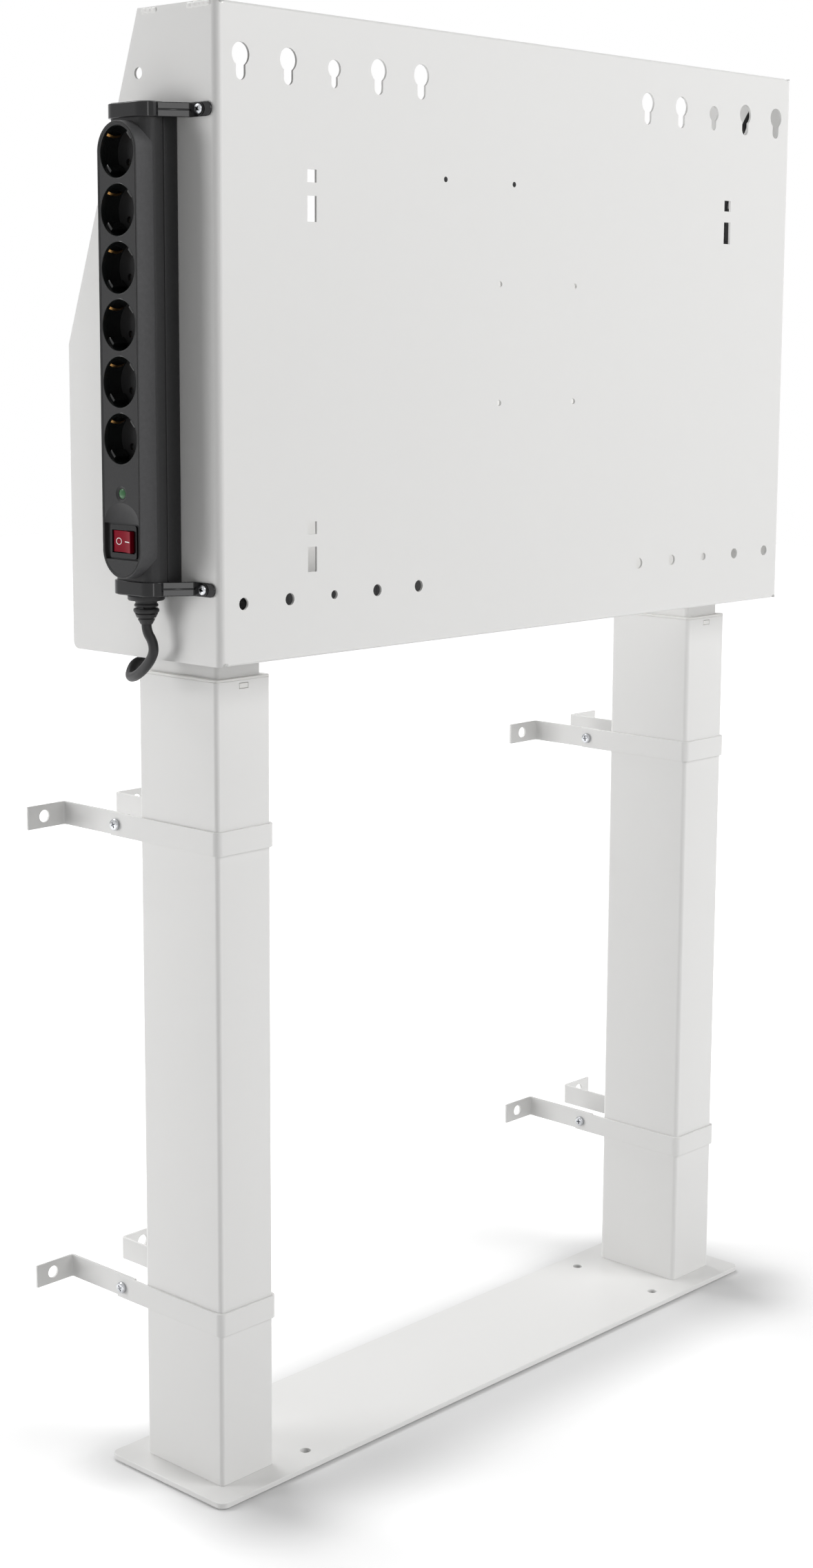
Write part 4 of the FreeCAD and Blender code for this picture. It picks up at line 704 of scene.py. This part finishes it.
def socket_wells():
    """Smooth liners of the six wells, their key ribs, spring contacts and pin shutters."""
    seats = [Matrix.Translation((0, 0, z - FACE_MIDDLE)) @ FACE_TURN for z in SOCKET_HEIGHTS]
    liner = [(19.46, -17.4), (19.46, 0.0), (19.95, 0.0), (19.8, 0.16), (19.45, 0.14), (19.15, -0.35),
             (19.05, -17.4), (19.46, -17.4)]
    ring = to_mesh(lathe(liner, 48), "well_liner")
    finished(copies(ring, seats), "socket_liners", "well_gloss", "lift", sharp=40, normals=False)
    finished(copies(key_ribs(), seats), "socket_key_ribs", "well_gloss", "lift", normals=False)
    thing = finished(copies(contact_leaves(), seats), "spring_contacts", "brass", "lift", normals=False)
    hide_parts("earth_clips")
    disc = to_mesh(lathe([(0, 0), (2.5, 0), (2.5, 0.5), (0, 0.5)], 16), "shutter")
    slant = 9.5 * math.sqrt(0.5)
    places = [moved((STRIP_FACE + 19.6, STRIP_Y + slant * hand, z - slant * hand), (1, 0, 0))
              for z in SOCKET_HEIGHTS for hand in (-1, 1)]
    finished(copies(disc, places), "pin_shutters", "pin_dark_and_groove_shade", "lift", normals=False)


def half_turn(bm):
    """Turns what is there to the other side of the well, so that a second one can be added."""
    bmesh.ops.rotate(bm, verts=bm.verts, cent=(0, 0, 0), matrix=Matrix.Rotation(math.pi, 3, "Z"))


def slanted(bm, angle, name):
    """A mesh of a well's ribs or leaves, turned from the strip's length by the angle in degrees."""
    bmesh.ops.rotate(bm, verts=bm.verts, cent=(0, 0, 0), matrix=Matrix.Rotation(math.radians(angle), 3, "Z"))
    return to_mesh(bm, name)


def key_ribs():
    """Two ribs on opposite sides of a well."""
    bm = bmesh.new()
    for _ in range(2):
        boxed(bm, (-18.9, -3.6, -16.6), (-15.6, 3.6, -2.2), 0.6, 2)
        half_turn(bm)
    return slanted(bm, -45, "key_rib")


def contact_leaves():
    """Two bowed strips of brass on the other two sides of a well."""
    bm = bmesh.new()
    path = [(19.0, -2.6), (17.9, -4.2), (17.2, -6.4), (17.0, -8.6), (17.4, -11.2), (18.2, -13.8),
            (19.0, -15.6)]
    for _ in range(2):
        edge = [bm.edges.new([bm.verts.new((path[0][0], y, path[0][1])) for y in (-1.1, 1.1)])]
        for before, spot in zip(path, path[1:]):
            step = bmesh.ops.extrude_edge_only(bm, edges=edge)
            edge = only_edges(step["geom"])
            bmesh.ops.translate(bm, verts=only_verts(step["geom"]),
                                vec=(spot[0] - before[0], 0, spot[1] - before[1]))
        half_turn(bm)
    bmesh.ops.solidify(bm, geom=bm.faces[:], thickness=0.5)
    return slanted(bm, 45, "contact_leaf")


def saddle_trim():
    """Stiffening rib down each saddle's sloping arm, and the raised cup round its screw."""
    arm = SADDLE_ARM_STOP - SADDLE_ARM_START
    along = arm.normalized()
    out = Vector((along.y, -along.x, 0))
    turn = Matrix((along, out, Vector((0, 0, 1)))).transposed().to_4x4()
    rib = bmesh.new()
    boxed(rib, (-0.5, -0.6, -0.75), (arm.length - 0.5, 0.75, 0.75), 0.35, 2)
    mesh = to_mesh(rib, "saddle_rib")
    places = [Matrix.Translation(SADDLE_ARM_START + Vector((0, 0, z))) @ turn for z in SADDLE_HEIGHTS]
    finished(copies(mesh, places), "saddle_ribs", "black_gloss", "lift", normals=False)
    cup = lathe([(4.2, -0.1), (4.2, 0.5), (4.5, 0.8), (5.0, 0.7), (5.2, 0.2), (5.2, -0.1), (4.2, -0.1)], 32)
    mesh = to_mesh(cup, "screw_cup")
    places = [moved((SADDLE_SCREW_X, SADDLE_SCREW_Y, z), (-1, 0, 0)) for z in SADDLE_HEIGHTS]
    finished(copies(mesh, places), "saddle_screw_cups", "black_gloss", "lift", normals=False)


def weld_beads():
    """Short runs of weld at the top corners of the box's two sides."""
    bead = bmesh.new()
    bmesh.ops.create_uvsphere(bead, u_segments=10, v_segments=6, radius=1)
    mesh = to_mesh(bead, "weld_bead")
    places = []
    for hand in (-1, 1):
        for start, stop in ((-80, -57), (-20, -5)):
            count = stop - start
            for number in range(count):
                y = start + count * number / (count - 1)
                swell = 0.14 * math.sin(number * 1.3)
                size = Matrix.Diagonal((1.3 + swell, 2.2, 2.4 - swell, 1))
                places.append(Matrix.Translation((SIDE_EDGE * hand, y, BOX_TOP + swell)) @ size)
    finished(copies(mesh, places), "weld_beads", "weld_coat", "lift", sharp=80, normals=False)


# Drive
def threaded_spindle(side, sign):
    """Lead screw: core, shoulder under the bearing and a 10 mm pitch thread wound by a spin."""
    bm = lathe([(0, 35), (4.6, 35), (5.6, 36.5), (5.6, 1030.7), (10, 1030.7), (10, 1034.7), (7, 1034.7),
                (7, 1062), (0, 1062)], 20)
    profile = [(5.5, 0), (7.0, 1.1), (7.0, 3.4), (5.5, 4.5)]
    line = [bm.verts.new((radius, 0, THREAD_START + height)) for radius, height in profile]
    edges = [bm.edges.new(pair) for pair in zip(line, line[1:])]
    bmesh.ops.spin(bm, geom=line + edges, cent=(0, 0, 0), axis=(0, 0, 1),
                   dvec=(0, 0, THREAD_PITCH / THREAD_STEPS), angle=math.tau * THREAD_TURNS,
                   steps=THREAD_STEPS * THREAD_TURNS, use_merge=False, use_duplicate=False)
    bmesh.ops.translate(bm, verts=bm.verts, vec=(COLUMN_X * sign, 0, 0))
    thing = finished(bm, "lead_screw_" + side, "bare_steel", "spindle_" + side, sharp=30)
    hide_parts("spindle_" + side)


def gear_motor(side, sign):
    """Worm gear housing with ribs, cover screws and a motor can with an end cap."""
    x = COLUMN_X * sign
    bm = bmesh.new()
    boxed(bm, (x - 29.9, -45.9, 1043), (x + 29.9, 45.9, 1052), 1.2)
    boxed(bm, (x - 28, -44, 1051), (x + 28, 44, 1084), 3, 3)
    boxed(bm, (x - 26, -42, 1083), (x + 26, 42, 1090), 2.5, 3)
    for y in (-36, -24, 24, 36):
        boxed(bm, (x - 29.6, y - 1.5, 1051), (x + 29.6, y + 1.5, 1081), 0.8)
    for across in (-1, 1):
        boxed(bm, (x + across * 20 - 4, -45.5, 1051), (x + across * 20 + 4, 45.5, 1079), 1.5)
    housing = finished(bm, "gear_housing_" + side, "gear_housing", "lift", sharp=30)
    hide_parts("gear_motor_" + side)
    can = lathe([(0, 1089.5), (21, 1089.5), (22.9, 1090.4), (22.9, 1092.5), (22, 1093.2), (22, 1133),
                 (22.9, 1133.8), (22.9, 1138), (21.6, 1140.6), (18, 1141.4), (8, 1141.5), (7.4, 1142),
                 (0, 1142)], 48)
    bmesh.ops.translate(can, verts=can.verts, vec=(x, 0, 0))
    finished(can, "motor_can_" + side, "black_steel", "lift", sharp=28)
    screw = cross_head("cover_screw", 5.5, 1.8, 3, 5)
    places = [moved((x + 21 * across, 36 * along, 1090), (0, 0, -1), 31 * across + 11 * along)
              for across in (-1, 1) for along in (-1, 1)]
    finished(copies(screw, places), "cover_screws_" + side, "zinc", "lift", normals=False)


def electrics():
    """The control box and the power supply: two case halves each, with a joint and ribs or slots."""
    left, right, low, high = CONTROL_BOX
    bm = bmesh.new()
    boxed(bm, (left, -85.5, low), (right, -57.5, high), 2.5, 3)
    boxed(bm, (left + 0.8, -57.6, low + 0.8), (right - 0.8, -56.9, high - 0.8), 0.2, 1)
    boxed(bm, (left, -57, low), (right, -51.5, high), 2, 3)
    for x in (-120, -105, -90, -62, -47, -32):
        boxed(bm, (x - 4, -51.6, low + 11.5), (x + 4, -51.2, high - 11.5), 0.15, 1)
    thing = finished(bm, "control_case", "black_plastic", "lift", sharp=30)
    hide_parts("control_box")
    left, right, low, high = POWER_SUPPLY
    bm = bmesh.new()
    boxed(bm, (left, -78, low), (right, -60.4, high), 2.5, 3)
    boxed(bm, (left + 0.6, -61, low + 0.6), (right - 0.6, -60, high - 0.6), 0.2, 1)
    boxed(bm, (left, -60.2, low), (right, -44, high), 2.5, 3)
    for number in range(9):
        x = -290 + 17 * number
        boxed(bm, (x - 3, -78.3, low + 6), (x + 3, -77.9, high - 6), 0.15, 1)
    thing = finished(bm, "supply_case", "black_plastic", "lift", sharp=30)
    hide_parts("power_supply")
    gland = lathe([(0, -1), (6.8, -1), (7, 0), (7, 3), (6, 3.6), (6, 5.4), (5.6, 6), (5, 8), (0, 8)], 28)
    bmesh.ops.transform(gland, verts=gland.verts, matrix=moved(SUPPLY_GLAND, (-1, 0, 0)))
    finished(gland, "supply_gland", "black_plastic", "lift")


def receiver():
    """Round-cornered pad with a domed eye in a ring."""
    bm = bmesh.new()
    boxed(bm, (BOX_SIDE, RECEIVER_Y - 8, 1186), (BOX_SIDE + RECEIVER_PAD, RECEIVER_Y + 8, 1204), 0.6)
    thing = finished(bm, "receiver_pad", "black_gloss", "lift", sharp=30)
    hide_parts("remote_receiver")
    eye = lathe([(0, 2.5), (2.2, 2.3), (3.8, 1.6), (4.6, 0.6), (4.7, 0.4), (5.5, 0.4), (5.5, -0.5),
                 (0, -0.5)], 32)
    seat = moved((BOX_SIDE + RECEIVER_PAD, RECEIVER_Y, RECEIVER_EYE_Z), (1, 0, 0))
    bmesh.ops.transform(eye, verts=eye.verts, matrix=seat)
    finished(eye, "receiver_eye", "black_gloss", "lift")


# Surroundings
def camera_white(tree):
    """A glow that only rays from the camera, mirrors and glass see. Its second input is the strength."""
    rays = add(tree, "ShaderNodeLightPath")
    either = add(tree, "ShaderNodeMath", operation="MAXIMUM")
    tree.links.new(rays.outputs["Is Camera Ray"], either.inputs[0])
    tree.links.new(rays.outputs["Is Glossy Ray"], either.inputs[1])
    every = add(tree, "ShaderNodeMath", operation="MAXIMUM")
    tree.links.new(either.outputs[0], every.inputs[0])
    tree.links.new(rays.outputs["Is Transmission Ray"], every.inputs[1])
    scaled = add(tree, "ShaderNodeMath", operation="MULTIPLY")
    tree.links.new(every.outputs[0], scaled.inputs[0])
    return scaled


def base_distance(tree):
    """How far a point of the floor lies outside a box round the base plate; the floor's glow, and with it the
    painted shade round the base, follows this distance.
    """
    where = add(tree, "ShaderNodeTexCoord")
    shift = add(tree, "ShaderNodeVectorMath", operation="ADD")
    shift.inputs[1].default_value = (0, 0.03, 0)
    mirror = add(tree, "ShaderNodeVectorMath", operation="ABSOLUTE")
    beyond = add(tree, "ShaderNodeVectorMath", operation="SUBTRACT")
    beyond.inputs[1].default_value = (0.33, 0.06, 0)
    outside = add(tree, "ShaderNodeVectorMath", operation="MAXIMUM")
    away = add(tree, "ShaderNodeVectorMath", operation="LENGTH")
    tree.links.new(where.outputs["Object"], shift.inputs[0])
    tree.links.new(shift.outputs["Vector"], mirror.inputs[0])
    tree.links.new(mirror.outputs["Vector"], beyond.inputs[0])
    tree.links.new(beyond.outputs["Vector"], outside.inputs[0])
    tree.links.new(outside.outputs["Vector"], away.inputs[0])
    return away.outputs["Value"]


def floor_material():
    """A pale floor whose glow is weak close to the base, a painted soft shade round it, and rises into the
    white background further away; the lamps' shadows fall on it as well.
    """
    material = bpy.data.materials.new("studio_floor")
    material.use_nodes = True
    tree = material.node_tree
    shader = tree.nodes["Principled BSDF"]
    shader.inputs["Base Color"].default_value = (0.72, 0.72, 0.72, 1)
    shader.inputs["Roughness"].default_value = 0.9
    shader.inputs["Specular IOR Level"].default_value = 0
    shader.inputs["Emission Color"].default_value = (1, 1, 1, 1)
    distance = base_distance(tree)
    # Glow rises with distance from the base: painted shade close to it, white far away.
    glow = add(tree, "ShaderNodeMath", operation="ADD")
    for number, (start, stop, most) in enumerate(FLOOR_PAINTED_SHADE_FADES):
        ramp = add(tree, "ShaderNodeMapRange", interpolation_type="SMOOTHSTEP")
        ramp.inputs["From Min"].default_value = start
        ramp.inputs["From Max"].default_value = stop
        ramp.inputs["To Max"].default_value = most
        tree.links.new(distance, ramp.inputs["Value"])
        tree.links.new(ramp.outputs["Result"], glow.inputs[number])
    lift = camera_white(tree)
    tree.links.new(glow.outputs[0], lift.inputs[1])
    tree.links.new(lift.outputs[0], shader.inputs["Emission Strength"])
    return material


def studio_floor():
    """The floor, a little below the base so that the two don't share a plane; its glow paints a soft shade
    round the base.
    """
    bm = bmesh.new()
    bmesh.ops.create_grid(bm, x_segments=4, y_segments=4, size=8)
    bmesh.ops.translate(bm, verts=bm.verts, vec=(0, 0, FLOOR_HEIGHT))
    mesh = bpy.data.meshes.new("studio_floor")
    bm.to_mesh(mesh)
    bm.free()
    mesh.materials.append(floor_material())
    placed("studio_floor", mesh)


def studio_world():
    """White where it is seen, also in mirrors and glass, and a low even light on the stand."""
    world = bpy.data.worlds.new("studio_world")
    world.use_nodes = True
    bpy.context.scene.world = world
    tree = world.node_tree
    back = tree.nodes["Background"]
    back.inputs["Color"].default_value = (1, 1, 1, 1)
    level = add(tree, "ShaderNodeMapRange")
    level.inputs["To Min"].default_value = WORLD_LEVEL
    level.inputs["To Max"].default_value = 1.0
    seen = camera_white(tree)
    seen.inputs[1].default_value = 1.0
    tree.links.new(seen.outputs[0], level.inputs["Value"])
    tree.links.new(level.outputs["Result"], back.inputs["Strength"])


def studio_lamps():
    """Soft lamps. The one that lights the box's hollow side rises with the box."""
    for name, place, aim, size, power, in_gloss in LAMPS:
        data = bpy.data.lights.new(name, "AREA")
        data.shape = "RECTANGLE"
        data.size, data.size_y = size
        data.energy = power
        lamp = placed(name, data)
        lamp.location = place
        lamp.rotation_mode = "QUATERNION"
        lamp.rotation_quaternion = (Vector(aim) - Vector(place)).to_track_quat("-Z", "Y")
        lamp.visible_camera = False
        lamp.visible_glossy = in_gloss
        if name == "box_fill":
            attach(lamp, "lift")


FLOOR_HEIGHT = -0.0012
WORLD_LEVEL = 0.15
# Each fade of the floor's glow: where it starts and ends, in metres from the base, and its strength. The glow
# is weak next to the base, which paints a soft shade round it.
FLOOR_PAINTED_SHADE_FADES = ((0, 0.11, 0.36), (0.08, 0.6, 0.62))
# Lamps: name, place, aim, size in metres, watts, and whether gloss shows the lamp
LAMPS = [
    ("key_lamp", (1.1, -2.9, 2.5), (0, 0, 0.6), (2.2, 2.2), 69, True),
    ("low_front_lamp", (1.2, -2.9, 0.95), (0, 0, 0.75), (1.2, 0.8), 16.5, False),
    ("back_lamp", (0.3, 2.9, 4.7), (0, 0, 0.2), (2.3, 2.0), 125, True),
    ("box_fill", (0.02, -0.083, 0.875), (0.02, 0, 0.875), (0.68, 0.3), 0.42, True),
    ("side_lamp", (-2.3, 2.3, 3.0), (-0.3, 0, 0.7), (1.4, 1.4), 22, True),
    ("low_side_lamp", (-2.4, 1.9, 0.8), (-0.3, 0, 0.6), (1.3, 1.5), 41, False),
    ("near_lamp", (-2.3, -3.2, 0.93), (-0.39, -0.05, 0.93), (0.5, 1.7), 8, True),
]


# The stand
COLUMN_PARTS = ("column_outer", "column_inner", "column_foot", "glide_collar", "glide_shoe", "head_plate")


def steelwork():
    """Folded, welded and turned parts keep their CAD shape and get rounded edges."""
    rounded("base_plate", 0.7, clamp=False)
    rounded("mounting_box", 0.4)
    rounded("cross_panel", 0.3)
    for side, _ in SIDES:
        for part in COLUMN_PARTS:
            rounded("%s_%s" % (part, side), 0.4)
        rounded("spacer_" + side, 0.3)
        for level, _ in LEVELS:
            rounded("wall_strap_%s_%s" % (side, level), 0.45, clamp=False)
            rounded("wall_arms_%s_%s" % (side, level), 0.45, clamp=False)
    rounded("bracket_nuts", 0.4)
    rounded("column_nuts", 0.4)


def plain_nodes():
    """Nodes whose CAD shape is right as it is get only their finish."""
    for node, thing in nodes.items():
        if not thing.hide_render:
            thing.data.materials.clear()
            thing.data.materials.append(FINISH[NODE_SLOT[node]])


steelwork()
screws()
carved_cover()
strip_back()
rounded("switch_frame", 0.25, 2, "black_gloss")
rounded("switch_rocker", 0.5, 3)
rounded("cable_saddle_lower", 0.6, 2, "black_gloss", clamp=False)
rounded("cable_saddle_upper", 0.6, 2, "black_gloss", clamp=False)
saddle_trim()
face_trim()
socket_wells()
weld_beads()
strain_relief()
rocker_marks()
pilot_light()
for side, sign in SIDES:
    threaded_spindle(side, sign)
    gear_motor(side, sign)
electrics()
receiver()
plain_nodes()

strip_flex.data.materials.append(FINISH["rubber"])
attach(strip_flex, "lift")
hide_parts("strip_cord")

studio_floor()
studio_world()
studio_lamps()
bpy.context.scene.view_settings.view_transform = "Standard"
